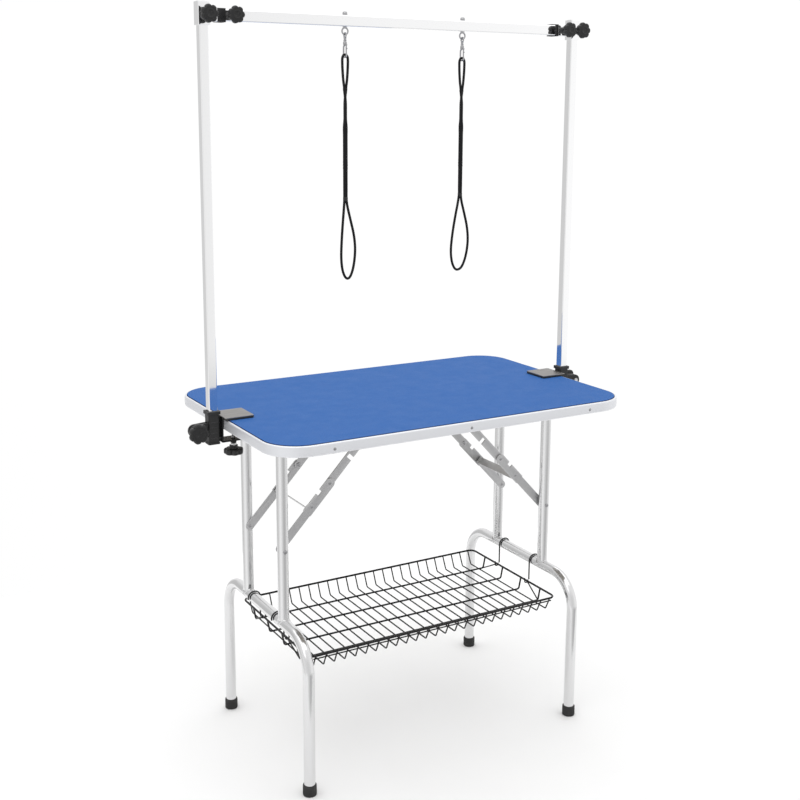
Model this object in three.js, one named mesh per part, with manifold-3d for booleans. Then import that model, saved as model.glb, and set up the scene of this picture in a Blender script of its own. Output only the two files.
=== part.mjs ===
// Folding pet grooming table with an overhead bar, two nooses and a wire basket.
// Millimetres, +X along the table's long side, +Y towards its back edge, +Z up.
// The origin is on the floor under the middle of the table. Left is -X and front is -Y.

import * as THREE from 'three';
import { mergeVertices } from 'three/addons/utils/BufferGeometryUtils.js';
import Module from 'manifold-3d';

const wasm = await Module();
wasm.setup();

// ---------------------------------------------------------------- driving dimensions

const GAP = 0.3; // clearance between touching pieces

// tabletop
const TABLE_LENGTH = 914;
const TABLE_WIDTH = 590;
const TABLE_HEIGHT = 818; // top of the mat
const CORNER_RADIUS = 82;
const MAT_THICKNESS = 3;
const BOARD_THICKNESS = 20;
const TRIM_HEIGHT = 25.5;
const TRIM_WALL = 3;
const TRIM_LIP = 5; // how far the trim's top lip reaches over the board
const TRIM_FLANGE = 14; // how far its lower flange reaches under the board

// legs
const TUBE_RADIUS = 12.7;
const TUBE_BORE = 11.5;
const LEG_X = 358.5;
const UPRIGHT_Y = 98.5;
const FOOT_Y = 224.5;
const LOWER_BAR_Z = 353;
const PIVOT_Z = { left: 778, right: 766 }; // the right legs fold under the left ones
const UPPER_BEND = 35;
const LOWER_BEND = 75;
const FOOT_HEIGHT = 25;
const FOOT_RADIUS = 15.5;

// folding braces: a pivot on the table, a middle hinge and a rivet on the upright
const BRACE_PIVOT_X = 118.5;
const BRACE_RIVET_DROP = 254; // from the legs' pivot down to the brace's rivet
const UPPER_LINK = 167.85;
const LOWER_LINK = 181.65;
const LINK_HALF_WIDTH = 10;
const LOCK_PLATE_HALF_WIDTH = 12;
const LOCK_PLATE_LENGTH = 86;
const LOWER_LAYER = [82.2, 85.2]; // distances from the middle plane
const UPPER_LAYER = [78.9, 81.9];
const TIE_LAYER = [76.6, 78.6];
const EAR_LAYER = [75.6, 78.6];
const PIN_END = 85.5;
const TIE_DISTANCE = 75; // from the middle hinge
const PIN_RADIUS = 3;
const PIN_HOLE = 3.4;

// basket
const RIM_X = 337;
const RIM_Y = 184;
const RIM_Z = 301;
const RIM_WIRE = 2.3;
const BASKET_FLOOR_Z = 271;
const BASKET_FLOOR_X = 331;
const BASKET_FLOOR_Y = 168;
const LONG_WIRE = 2;
const CROSS_WIRE = 1.4;
const CROSS_WIRE_COUNT = 25;
const CROSS_WIRE_X = 321;
const LONG_WIRE_YS = [-122.5, -40.5, 40.5, 122.5];
const HOOK_Y = 66;
const HOOK_WIRE = 1.8;

// posts, crossbar and their connectors
const POST_X = 478;
const POST_HALF = 10;
const POST_BOTTOM = 766;
const POST_TOP = 1698;
const CROSSBAR_HALF = 12;
const CROSSBAR_Z = 1671;
const CROSSBAR_END = 462;
const SQUARE_WALL = 1.3;
const SLEEVE_HALF = 13;
const SLEEVE_BOTTOM = 1650;
const SLEEVE_TOP = 1697;
const STUB_HALF = 13.6;
const STUB_END = { left: 449.6, right: 426 };
const BAR_KNOB_X = { left: 420, right: 438 };
const KNOB_BACK = 36; // distance of the corner knobs' heads from the bar's middle plane

// table clamps
const SOCKET_HALF = 12.3;
const SOCKET_BOTTOM = 762;
const SOCKET_TOP = 836;
const JAW_REACH = 394; // distance of the jaw's inner edge from the table's middle
const JAW_HALF_WIDTH = 36;
const CLAMP_SCREW_X = 429;
const LOCK_KNOB_X = 519;
const LOCK_KNOB_Z = 795;

// nooses
const HANGER_X = { left: -148, right: 158 };
const RING_Z = 1649.5;
const CORD_RADIUS = 2.5;
const CORD_TOP_Z = 1599.9;
const THICK_TOP_Z = 1532;
const THICK_BOTTOM_Z = 1345;
const SLIDER_Z = 1284;

// ---------------------------------------------------------------- materials

const FINISHES = {
  mat: [0x2f63b5, 0.75, 0],
  board: [0xb8a078, 0.8, 0],
  trim: [0xd9dce2, 0.35, 0.9],
  tube: [0xcfcfcf, 0.3, 0.9],
  chrome: [0xe2e2e2, 0.15, 1],
  zinc: [0xa9a9a9, 0.45, 0.9],
  blackPlastic: [0x2b2b2b, 0.45, 0],
  blackRubber: [0x1d1d1d, 0.85, 0],
  blackWire: [0x202020, 0.4, 0.3],
  jaw: [0x8d8886, 0.45, 0.8],
  cord: [0x242424, 0.9, 0],
};

const table = new THREE.Group();

function addPart(name, geometry, finish) {
  const [color, roughness, metalness] = FINISHES[finish];
  const mesh = new THREE.Mesh(geometry, new THREE.MeshStandardMaterial({ color, roughness, metalness }));
  mesh.name = name;
  table.add(mesh);
}

// ---------------------------------------------------------------- joining and cutting

function toSolid(geometry) {
  const bare = geometry.clone();
  bare.deleteAttribute('normal');
  bare.deleteAttribute('uv');
  const merged = mergeVertices(bare, 1e-4);
  const vertProperties = new Float32Array(merged.attributes.position.array);
  const triVerts = new Uint32Array(merged.index.array);
  return new wasm.Manifold(new wasm.Mesh({ numProp: 3, vertProperties, triVerts }));
}

function toGeometry(solid) {
  const mesh = solid.getMesh();
  const geometry = new THREE.BufferGeometry();
  geometry.setAttribute('position', new THREE.BufferAttribute(mesh.vertProperties, 3));
  geometry.setIndex(new THREE.BufferAttribute(mesh.triVerts, 1));
  geometry.computeVertexNormals();
  return geometry;
}

function join(...pieces) {
  return toGeometry(pieces.map(toSolid).reduce((whole, piece) => whole.add(piece)));
}

function cut(base, ...tools) {
  return toGeometry(tools.map(toSolid).reduce((rest, tool) => rest.subtract(tool), toSolid(base)));
}

// ---------------------------------------------------------------- basic shapes

function box(x, y, z) {
  const size = [x, y, z].map(([a, b]) => Math.abs(b - a));
  const middle = [x, y, z].map(([a, b]) => (a + b) / 2);
  return new THREE.BoxGeometry(...size).translate(...middle);
}

// A round bar along one axis; `across` is its place on the other two, in X, Y, Z order.
function rod(axis, radius, [start, end], across, sides = 16) {
  const bar = new THREE.CylinderGeometry(radius, radius, Math.abs(end - start), sides);
  const middle = (start + end) / 2;
  if (axis === 'x') return bar.rotateZ(Math.PI / 2).translate(middle, ...across);
  if (axis === 'y') return bar.translate(across[0], middle, across[1]);
  return bar.rotateX(Math.PI / 2).translate(...across, middle);
}

// A flat plate in the XZ plane, between two Y values.
function uprightPlate(shape, [a, b], curveSegments = 4) {
  const depth = Math.abs(b - a);
  const plate = new THREE.ExtrudeGeometry(shape, { depth, bevelEnabled: false, curveSegments });
  return plate.rotateX(Math.PI / 2).translate(0, Math.max(a, b), 0);
}

function roundedRectangle(length, width, radius) {
  const x = length / 2;
  const y = width / 2;
  const shape = new THREE.Shape();
  shape.moveTo(-x + radius, -y);
  shape.absarc(x - radius, -y + radius, radius, -Math.PI / 2, 0);
  shape.absarc(x - radius, y - radius, radius, 0, Math.PI / 2);
  shape.absarc(-x + radius, y - radius, radius, Math.PI / 2, Math.PI);
  shape.absarc(-x + radius, -y + radius, radius, Math.PI, 1.5 * Math.PI);
  return shape;
}

// A slab with the tabletop's outline, drawn in from its edge by `inset`.
function slab(inset, bottom, top, bevel = 0) {
  const shrink = 2 * (inset + bevel);
  const outline = roundedRectangle(
    TABLE_LENGTH - shrink, TABLE_WIDTH - shrink, CORNER_RADIUS - inset - bevel);
  const plate = new THREE.ExtrudeGeometry(outline, {
    depth: top - bottom - 2 * bevel,
    bevelEnabled: bevel > 0,
    bevelThickness: bevel,
    bevelSize: bevel,
    bevelSegments: 2,
    curveSegments: 4,
  });
  return plate.translate(0, 0, bottom + bevel);
}

function squareTube(axis, half, wall, range, across) {
  const place = (h) => {
    const sides = across.map((middle) => [middle - h, middle + h]);
    return axis === 'x' ? [range, ...sides] : [...sides, range];
  };
  const longer = [range[0] - 1, range[1] + 1];
  const bore = place(half - wall);
  bore[axis === 'x' ? 0 : 2] = longer;
  return cut(box(...place(half)), box(...bore));
}

// ---------------------------------------------------------------- bent tubes and wires

// A path through corner points with round bends. It has a stop at each end of each
// straight stretch and every few degrees round a bend, and nowhere else.
class BentPath extends THREE.Curve {
  constructor(corners, bendRadius, bendSteps, closed = false) {
    super();
    this.stops = [];
    const count = corners.length;
    corners.forEach((corner, i) => {
      const before = corners[(i + count - 1) % count];
      const after = corners[(i + 1) % count];
      const inward = corner.clone().sub(before).normalize();
      const outward = after.clone().sub(corner).normalize();
      if (!closed && i === 0) this.stops.push({ point: corner, along: outward });
      else if (!closed && i === count - 1) this.stops.push({ point: corner, along: inward });
      else this.addBend(corner, inward, outward, bendRadius, bendSteps);
    });
    if (closed) this.stops.push(this.stops[0]);
    this.steps = this.stops.length - 1;
  }

  addBend(corner, inward, outward, radius, steps) {
    if (steps === 0) {
      this.stops.push({ point: corner, along: inward.clone().add(outward).normalize() });
      return;
    }
    const angle = inward.angleTo(outward);
    const start = corner.clone().addScaledVector(inward, -radius * Math.tan(angle / 2));
    const side = outward.clone().addScaledVector(inward, -outward.dot(inward)).normalize();
    for (let i = 0; i <= steps; i++) {
      const turned = (angle * i) / steps;
      const point = start.clone()
        .addScaledVector(inward, radius * Math.sin(turned))
        .addScaledVector(side, radius * (1 - Math.cos(turned)));
      const along = inward.clone().multiplyScalar(Math.cos(turned))
        .addScaledVector(side, Math.sin(turned));
      this.stops.push({ point, along });
    }
  }

  between(u, key) {
    const place = u * this.steps;
    const i = Math.min(Math.floor(place), this.steps - 1);
    return this.stops[i][key].clone().lerp(this.stops[i + 1][key], place - i);
  }

  getPoint(u) {
    return this.between(u, 'point');
  }

  getPointAt(u) {
    return this.between(u, 'point');
  }

  getTangentAt(u) {
    return this.between(u, 'along').normalize();
  }
}

const point = (x, y, z) => new THREE.Vector3(x, y, z);

function polygon(radius, sides, outline = new THREE.Shape()) {
  const corners = Array.from({ length: sides }, (_, i) => {
    const angle = (2 * Math.PI * (i + 0.5)) / sides;
    return new THREE.Vector2(radius * Math.cos(angle), radius * Math.sin(angle));
  });
  return outline.setFromPoints(corners);
}

function sweep(path, steps, radius, sides, bore = 0) {
  const section = polygon(radius, sides);
  if (bore > 0) section.holes.push(polygon(bore, sides - 4, new THREE.Path()));
  return new THREE.ExtrudeGeometry(section, { steps, extrudePath: path, bevelEnabled: false });
}

function bentTube(corners, bendRadius, bendSteps, radius, sides, bore = 0) {
  const path = new BentPath(corners.map((c) => point(...c)), bendRadius, bendSteps);
  return sweep(path, path.steps, radius, sides, bore);
}

function closedWire(corners, bendRadius, bendSteps, radius, sides) {
  const path = new BentPath(corners.map((c) => point(...c)), bendRadius, bendSteps, true);
  return new THREE.TubeGeometry(path, path.steps, radius, sides, true);
}

// ---------------------------------------------------------------- tabletop

function addTabletop() {
  const boardTop = TABLE_HEIGHT - MAT_THICKNESS;
  const boardBottom = boardTop - BOARD_THICKNESS;
  const trimTop = TABLE_HEIGHT + 0.5;
  const trim = cut(
    slab(0, trimTop - TRIM_HEIGHT, trimTop, 4),
    slab(TRIM_WALL, boardBottom - GAP, boardTop + GAP),
    slab(TRIM_LIP, boardTop, trimTop + 1),
    slab(TRIM_FLANGE, trimTop - TRIM_HEIGHT - 1, boardBottom),
  );
  addPart('tabletop_mat', slab(TRIM_LIP + GAP, boardTop + GAP, TABLE_HEIGHT), 'mat');
  addPart('tabletop_board', slab(TRIM_WALL + GAP, boardBottom, boardTop), 'board');
  addPart('edge_trim', trim, 'trim');
}

// ---------------------------------------------------------------- legs

const pivotHeight = (side) => (side < 0 ? PIVOT_Z.left : PIVOT_Z.right);
const rivetHeight = (side) => pivotHeight(side) - BRACE_RIVET_DROP;

// A steel plate under the board: two saddles hold the leg's pivot tube, two ears the braces.
function hingePlate(side) {
  const pivotZ = pivotHeight(side);
  const plateZ = [792.4, 794.7];
  const earShape = new THREE.Shape();
  const earX = side * BRACE_PIVOT_X;
  earShape.moveTo(earX - 13, 793);
  earShape.lineTo(earX - 10, pivotZ);
  earShape.absarc(earX, pivotZ, 10, Math.PI, 2 * Math.PI);
  earShape.lineTo(earX + 13, 793);
  const saddleShape = new THREE.Shape();
  saddleShape.moveTo(side * LEG_X - 16, 793);
  saddleShape.lineTo(side * LEG_X - 16, pivotZ);
  saddleShape.absarc(side * LEG_X, pivotZ, 16, Math.PI, 2 * Math.PI);
  saddleShape.lineTo(side * LEG_X + 16, 793);
  const pieces = [box([side * 340, side * 377], [-100, 100], plateZ)];
  for (const y of [-1, 1]) {
    pieces.push(box([side * 102, side * 377], [y * 71, y * 108], plateZ));
    pieces.push(uprightPlate(earShape, [y * EAR_LAYER[0], y * EAR_LAYER[1]]));
    pieces.push(uprightPlate(saddleShape, [y * 34, y * 58], 5));
  }
  const bores = [rod('y', TUBE_RADIUS + 0.8, [-62, 62], [side * LEG_X, pivotZ], 16)];
  bores.push(rod('y', PIN_HOLE, [-95, 95], [earX, pivotZ], 12));
  return cut(join(...pieces), ...bores);
}

// The two uprights and the pivot tube are one bent tube, coped onto the lower bar.
function upperFrame(side) {
  const x = side * LEG_X;
  const pivotZ = pivotHeight(side);
  const tube = bentTube(
    [[x, -UPRIGHT_Y, LOWER_BAR_Z], [x, -UPRIGHT_Y, pivotZ],
      [x, UPRIGHT_Y, pivotZ], [x, UPRIGHT_Y, LOWER_BAR_Z]],
    UPPER_BEND, 4, TUBE_RADIUS, 14, TUBE_BORE);
  const coped = cut(tube, rod('y', TUBE_RADIUS + 0.8, [-130, 130], [x, LOWER_BAR_Z], 14));
  const heads = [-1, 1].map((y) => {
    const range = [y * (UPRIGHT_Y + TUBE_BORE + 0.6), y * (UPRIGHT_Y + TUBE_RADIUS + 2.6)];
    return rod('y', 5, range, [x, rivetHeight(side)], 12);
  });
  return join(coped, ...heads);
}

function lowerFrame(side) {
  const x = side * LEG_X;
  return bentTube(
    [[x, -FOOT_Y, 5], [x, -FOOT_Y, LOWER_BAR_Z], [x, FOOT_Y, LOWER_BAR_Z], [x, FOOT_Y, 5]],
    LOWER_BEND, 5, TUBE_RADIUS, 14, TUBE_BORE);
}

// A rubber cap over the end of the tube, with a groove round it.
function foot(x, y) {
  const bore = TUBE_RADIUS + 0.6;
  const profile = [
    [0, 0], [FOOT_RADIUS - 1, 0], [FOOT_RADIUS, 2], [FOOT_RADIUS, 10], [FOOT_RADIUS - 1, 12.5],
    [FOOT_RADIUS, 15], [FOOT_RADIUS - 1, FOOT_HEIGHT], [bore, FOOT_HEIGHT], [bore, 4.5], [0, 4.5],
  ].map(([r, z]) => new THREE.Vector2(r, z));
  return new THREE.LatheGeometry(profile, 14).rotateX(Math.PI / 2).translate(x, y, 0);
}

function addLegs(side, word) {
  addPart(`${word}_hinge_plate`, hingePlate(side), 'zinc');
  addPart(`${word}_leg_upper_frame`, upperFrame(side), 'tube');
  addPart(`${word}_leg_lower_frame`, lowerFrame(side), 'tube');
  addPart(`${word}_front_foot`, foot(side * LEG_X, -FOOT_Y), 'blackRubber');
  addPart(`${word}_back_foot`, foot(side * LEG_X, FOOT_Y), 'blackRubber');
}

// ---------------------------------------------------------------- folding braces

// A brace's own axes: `along` runs down the brace from its table pivot to its rivet, and
// `away` points from the brace away from the corner between leg and table.
function braceAxes(side) {
  const pivot = new THREE.Vector2(side * BRACE_PIVOT_X, pivotHeight(side));
  const rivet = new THREE.Vector2(side * LEG_X, rivetHeight(side));
  const along = rivet.clone().sub(pivot).normalize();
  const away = new THREE.Vector2(side * along.y, -side * along.x);
  const at = (distance, offset = 0) =>
    pivot.clone().addScaledVector(along, distance).addScaledVector(away, offset);
  return { along, at };
}

// A bar with round ends; `notches` are [from, to, depth] cut into one long edge.
function linkShape(axes, start, end, halfWidth, edge, notches) {
  const corners = [];
  const roundEnd = (distance, first) => {
    for (let i = 0; i <= 6; i++) {
      const angle = Math.PI * (first + i / 6);
      const reach = halfWidth * Math.sin(angle);
      corners.push(axes.at(distance - reach, edge * halfWidth * Math.cos(angle)));
    }
  };
  roundEnd(start, 0);
  roundEnd(end, 1);
  notches.forEach(([from, to, depth]) => {
    corners.push(axes.at(to, edge * halfWidth), axes.at(to, edge * (halfWidth - depth)));
    corners.push(axes.at(from, edge * (halfWidth - depth)), axes.at(from, edge * halfWidth));
  });
  return new THREE.Shape(corners);
}

function upperLink(side, y) {
  const axes = braceAxes(side);
  const slotAt = UPPER_LINK - TIE_DISTANCE;
  const outline = linkShape(axes, 0, UPPER_LINK, LINK_HALF_WIDTH, 1,
    [[slotAt - 4.8, slotAt + 4.8, LINK_HALF_WIDTH + 4.8]]);
  const pieces = [uprightPlate(outline, UPPER_LAYER.map((d) => y * d))];
  const pivot = axes.at(0).toArray();
  const hinge = axes.at(UPPER_LINK).toArray();
  pieces.push(rod('y', PIN_RADIUS, [y * (EAR_LAYER[0] - 1), y * UPPER_LAYER[0]], pivot, 8));
  pieces.push(rod('y', 5.5, [y * (EAR_LAYER[0] - 2.3), y * (EAR_LAYER[0] - GAP)], pivot, 8));
  pieces.push(rod('y', PIN_RADIUS, [y * UPPER_LAYER[0], y * PIN_END], hinge, 8));
  pieces.push(rod('y', 5.5, [y * (UPPER_LAYER[0] - 2), y * UPPER_LAYER[0]], hinge, 8));
  return join(...pieces);
}

// The lower link carries the wider lock plate beside the middle hinge, with its square notch.
function lowerLink(side, y) {
  const axes = braceAxes(side);
  const end = UPPER_LINK + LOWER_LINK;
  const layer = LOWER_LAYER.map((d) => y * d);
  const bar = linkShape(axes, UPPER_LINK, end, LINK_HALF_WIDTH, -1, []);
  const plate = linkShape(axes, UPPER_LINK, UPPER_LINK + LOCK_PLATE_LENGTH - LOCK_PLATE_HALF_WIDTH,
    LOCK_PLATE_HALF_WIDTH, -1, [[UPPER_LINK + 26, UPPER_LINK + 38, 7]]);
  const notch = linkShape(axes, UPPER_LINK + 30.9, UPPER_LINK + 33.1, 4.9, 1, []);
  const notchTool = uprightPlate(notch, [layer[0] - 5, layer[1] + 5]);
  const reach = axes.at(0).sub(axes.at(0, -9.9));
  notchTool.translate(-reach.x, 0, -reach.y);
  const hinge = rod('y', PIN_HOLE, [layer[0] - 5, layer[1] + 5], axes.at(UPPER_LINK).toArray(), 12);
  return cut(join(uprightPlate(bar, layer), uprightPlate(plate, layer)), notchTool, hinge);
}

// The strip across the table joins the front and back lower links, so that they fold together.
function braceTie(side) {
  const axes = braceAxes(side);
  const place = UPPER_LINK + TIE_DISTANCE;
  const rectangle = (halfLength, halfWidth) => new THREE.Shape([
    axes.at(place - halfLength, -halfWidth), axes.at(place + halfLength, -halfWidth),
    axes.at(place + halfLength, halfWidth), axes.at(place - halfLength, halfWidth),
  ]);
  const pieces = [uprightPlate(rectangle(1, 9.5), [-TIE_LAYER[1], TIE_LAYER[1]])];
  for (const y of [-1, 1]) {
    pieces.push(uprightPlate(rectangle(8, 9), TIE_LAYER.map((d) => y * d)));
    const pin = [y * TIE_LAYER[0], y * (LOWER_LAYER[0] - 0.2)];
    pieces.push(rod('y', PIN_RADIUS, pin, axes.at(place).toArray(), 10));
  }
  return join(...pieces);
}

function addBraces(side, word) {
  for (const [y, place] of [[-1, 'front'], [1, 'back']]) {
    addPart(`${word}_${place}_upper_brace_link`, upperLink(side, y), 'zinc');
    addPart(`${word}_${place}_lower_brace_link`, lowerLink(side, y), 'zinc');
  }
  addPart(`${word}_brace_tie`, braceTie(side), 'zinc');
}

// ---------------------------------------------------------------- basket

function basket() {
  const rim = closedWire(
    [[-RIM_X, -RIM_Y, RIM_Z], [RIM_X, -RIM_Y, RIM_Z], [RIM_X, RIM_Y, RIM_Z], [-RIM_X, RIM_Y, RIM_Z]],
    16, 3, RIM_WIRE, 5);
  const wires = [rim];
  for (const y of LONG_WIRE_YS) {
    wires.push(bentTube(
      [[-RIM_X, y, RIM_Z], [-BASKET_FLOOR_X, y, BASKET_FLOOR_Z],
        [BASKET_FLOOR_X, y, BASKET_FLOOR_Z], [RIM_X, y, RIM_Z]],
      6, 1, LONG_WIRE, 4));
  }
  const crossZ = BASKET_FLOOR_Z - LONG_WIRE - CROSS_WIRE * 0.5;
  for (let i = 0; i < CROSS_WIRE_COUNT; i++) {
    const x = -CROSS_WIRE_X + (2 * CROSS_WIRE_X * i) / (CROSS_WIRE_COUNT - 1);
    wires.push(bentTube(
      [[x, -RIM_Y, RIM_Z], [x, -BASKET_FLOOR_Y, crossZ], [x, BASKET_FLOOR_Y, crossZ], [x, RIM_Y, RIM_Z]],
      0, 0, CROSS_WIRE, 4));
  }
  for (const x of [-1, 1]) {
    for (const y of [-1, 1]) {
      const foot = [x * RIM_X, y * HOOK_Y, RIM_Z];
      const corner = [x * BASKET_FLOOR_X, y * 122.5, BASKET_FLOOR_Z];
      wires.push(bentTube([foot, corner], 0, 0, CROSS_WIRE, 4));
    }
  }
  return join(...wires);
}

// A wire hook hung over the leg's lower bar; its foot stands on the basket's rim.
function basketHook(side, y) {
  const x = side * LEG_X;
  const reach = TUBE_RADIUS + GAP + HOOK_WIRE;
  const corners = [
    [x - side * reach, y, RIM_Z + RIM_WIRE + 0.5],
    [x - side * reach, y, LOWER_BAR_Z + reach],
    [x + side * reach, y, LOWER_BAR_Z + reach],
    [x + side * (reach + 0.5), y, LOWER_BAR_Z - 3],
  ];
  return bentTube(corners, reach - 0.5, 4, HOOK_WIRE, 5);
}

function addBasket() {
  addPart('basket', basket(), 'blackWire');
  for (const [side, word] of [[-1, 'left'], [1, 'right']]) {
    addPart(`${word}_front_basket_hook`, basketHook(side, -HOOK_Y), 'blackWire');
    addPart(`${word}_back_basket_hook`, basketHook(side, HOOK_Y), 'blackWire');
  }
}

// ---------------------------------------------------------------- star knobs

// A seven-lobed knob on +Z with its stud on -Z; the boss starts at the origin.
function starKnob(radius, thickness, boss, studRadius, studLength) {
  const lobes = 7;
  const dip = 0.17; // depth of the hollows between the lobes, as a share of the radius
  const bevel = 2.5;
  const steps = lobes * 6;
  const corners = [];
  for (let i = 0; i < steps; i++) {
    const angle = (2 * Math.PI * (i + 0.5)) / steps;
    const bulge = Math.abs(Math.cos((lobes * angle) / 2)) ** 0.7;
    const reach = radius * (1 - dip + dip * bulge) - bevel;
    corners.push(new THREE.Vector2(reach * Math.cos(angle), reach * Math.sin(angle)));
  }
  const head = new THREE.ExtrudeGeometry(new THREE.Shape(corners), {
    depth: thickness - 2 * bevel,
    bevelThickness: bevel,
    bevelSize: bevel,
    bevelSegments: 1,
  }).translate(0, 0, boss + bevel);
  const neck = rod('z', radius * 0.42, [0, boss + 1], [0, 0], 10);
  return join(head, neck, rod('z', studRadius, [-studLength, 1], [0, 0], 8));
}

const facingFront = (knob, x, y, z) => knob.rotateX(Math.PI / 2).translate(x, y, z);
const facingBack = (knob, x, y, z) => knob.rotateX(-Math.PI / 2).translate(x, y, z);

// ---------------------------------------------------------------- table clamps

// A square socket for the post, split on its outer side, with two ears that its knob squeezes.
function clampSocket(side) {
  const x = side * POST_X;
  const around = (half) => [[x - half, x + half], [-half, half]];
  const ear = new THREE.Shape();
  const earEnd = side * LOCK_KNOB_X;
  ear.moveTo(x + side * 11.5, LOCK_KNOB_Z - 16);
  ear.lineTo(earEnd, LOCK_KNOB_Z - 14);
  ear.absarc(earEnd, LOCK_KNOB_Z, 14, -Math.PI / 2, (side - 0.5) * Math.PI, side < 0);
  ear.lineTo(x + side * 11.5, LOCK_KNOB_Z + 16);
  const body = join(
    box(...around(SOCKET_HALF), [SOCKET_BOTTOM, SOCKET_TOP]),
    box(...around(SOCKET_HALF + 2.7), [SOCKET_TOP - 7, SOCKET_TOP]),
    box(...around(SOCKET_HALF + 1.2), [SOCKET_BOTTOM, SOCKET_BOTTOM + 5]),
    uprightPlate(ear, [-8, 8]),
  );
  return cut(
    body,
    box(...around(POST_HALF + 0.4), [POST_BOTTOM - 0.5, SOCKET_TOP + 1]),
    box([x + side * 9, x + side * 60], [-2, 2], [SOCKET_BOTTOM + 6, SOCKET_TOP + 1]),
    rod('y', 4, [-20, 20], [earEnd, LOCK_KNOB_Z], 12),
  );
}

// A C-shaped steel jaw: a wide plate on the mat, a web past the trim and an arm for the screw.
function clampJaw(side) {
  const plateZ = [821.5, 824.5];
  const web = [side * 458.4, side * 461.6];
  const arm = [765, 769];
  const jaw = join(
    box([side * JAW_REACH, web[1]], [-JAW_HALF_WIDTH, JAW_HALF_WIDTH], plateZ),
    box(web, [-17, 17], [arm[0], plateZ[1]]),
    box([side * 414, web[1]], [-17, 17], arm),
    box([web[0], side * (POST_X - SOCKET_HALF - GAP)], [-9, 9], [776, 822]),
    rod('z', 7.5, [758, arm[0] + 0.5], [side * CLAMP_SCREW_X, 0], 6),
  );
  return cut(jaw, rod('z', 4.5, [750, 775], [side * CLAMP_SCREW_X, 0], 12));
}

// The screw with its knob below and its pressure pad above.
function clampScrew(side) {
  const knob = starKnob(22, 14, 7, 4, 42).rotateX(Math.PI);
  const pad = rod('z', 9.5, [38, 42.5], [0, 0], 12);
  const nut = rod('z', 7, [0, 4], [0, 0], 6);
  return join(knob, pad, nut).translate(side * CLAMP_SCREW_X, 0, 752);
}

function addClamp(side, word) {
  const facing = side < 0 ? facingFront : facingBack; // the two clamps are one part, turned round
  const knob = facing(starKnob(22.5, 14, 12, 3.5, 20), side * LOCK_KNOB_X, side * 8.3, LOCK_KNOB_Z);
  const padWidth = JAW_HALF_WIDTH - 1;
  const pad = box([side * (JAW_REACH + 1), side * 456], [-padWidth, padWidth], [818.9, 821.2]);
  addPart(`${word}_clamp_socket`, clampSocket(side), 'blackPlastic');
  addPart(`${word}_clamp_jaw`, clampJaw(side), 'jaw');
  addPart(`${word}_clamp_rubber`, pad, 'blackRubber');
  addPart(`${word}_clamp_screw`, clampScrew(side), 'blackPlastic');
  addPart(`${word}_post_lock_knob`, knob, 'blackPlastic');
}

// ---------------------------------------------------------------- posts and crossbar

// A square sleeve that slides on the post, with a stub that holds the crossbar's end.
function cornerConnector(side, word) {
  const x = side * POST_X;
  const around = (half) => [[x - half, x + half], [-half, half]];
  const level = (half) => [[-half, half], [CROSSBAR_Z - half, CROSSBAR_Z + half]];
  const stubEnd = side * STUB_END[word];
  const whole = join(
    box(...around(SLEEVE_HALF), [SLEEVE_BOTTOM, SLEEVE_TOP]),
    box([x - side * 6, stubEnd], ...level(STUB_HALF)),
  );
  const tools = [
    box(...around(POST_HALF + 0.4), [SLEEVE_BOTTOM - 1, SLEEVE_TOP + 1]),
    box([side * (CROSSBAR_END + GAP), stubEnd - side], ...level(CROSSBAR_HALF + GAP)),
    rod('y', 3.4, [-20, -5], [x, CROSSBAR_Z], 8),
  ];
  if (word === 'right') tools.push(rod('y', 3.4, [-20, -5], [BAR_KNOB_X.right, CROSSBAR_Z], 8));
  return cut(whole, ...tools);
}

// A black bushing round the crossbar at the mouth of the stub, with a tab above and below.
function crossbarBushing(side, word) {
  const mouth = STUB_END[word] - GAP;
  const level = (half) => [[-half, half], [CROSSBAR_Z - half, CROSSBAR_Z + half]];
  const flange = box([side * mouth, side * (mouth - 7)], ...level(14));
  const tabs = [-1, 1].map((up) => {
    const z = [CROSSBAR_Z + up * (CROSSBAR_HALF - 1), CROSSBAR_Z + up * 14];
    return box([side * (mouth - 6), side * (mouth - 19)], [-9, 9], z);
  });
  const hole = box([side * 380, side * 470], ...level(CROSSBAR_HALF + GAP));
  return cut(join(flange, ...tabs), hole);
}

function crossbar() {
  const bar = squareTube('x', CROSSBAR_HALF, SQUARE_WALL, [-CROSSBAR_END, CROSSBAR_END], [0, CROSSBAR_Z]);
  const holes = Object.values(HANGER_X).map((x) => rod('z', 3.4, [1640, 1700], [x, 0], 8));
  holes.push(rod('y', 3.4, [-20, -5], [-BAR_KNOB_X.left, CROSSBAR_Z], 8));
  return cut(bar, ...holes);
}

function addOverheadBar() {
  for (const [side, word] of [[-1, 'left'], [1, 'right']]) {
    const x = side * POST_X;
    const post = squareTube('z', POST_HALF, SQUARE_WALL, [POST_BOTTOM, POST_TOP], [x, 0]);
    const barFace = (word === 'left' ? CROSSBAR_HALF : STUB_HALF) + GAP;
    const sleeveFace = SLEEVE_HALF + 0.9;
    const sleeveKnob = starKnob(19, 13, KNOB_BACK - sleeveFace, 3, 2.6);
    const barKnob = starKnob(18, 13, KNOB_BACK - barFace, 3, word === 'left' ? 6 : 1.2);
    addPart(`${word}_post`, post, 'chrome');
    addPart(`${word}_corner_connector`, cornerConnector(side, word), 'chrome');
    addPart(`${word}_crossbar_bushing`, crossbarBushing(side, word), 'blackPlastic');
    addPart(`${word}_sleeve_knob`, facingFront(sleeveKnob, x, -sleeveFace, CROSSBAR_Z), 'blackPlastic');
    addPart(`${word}_crossbar_knob`,
      facingFront(barKnob, side * BAR_KNOB_X[word], -barFace, CROSSBAR_Z), 'blackPlastic');
  }
  addPart('crossbar', crossbar(), 'chrome');
}

// ---------------------------------------------------------------- nooses and their hooks

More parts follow.
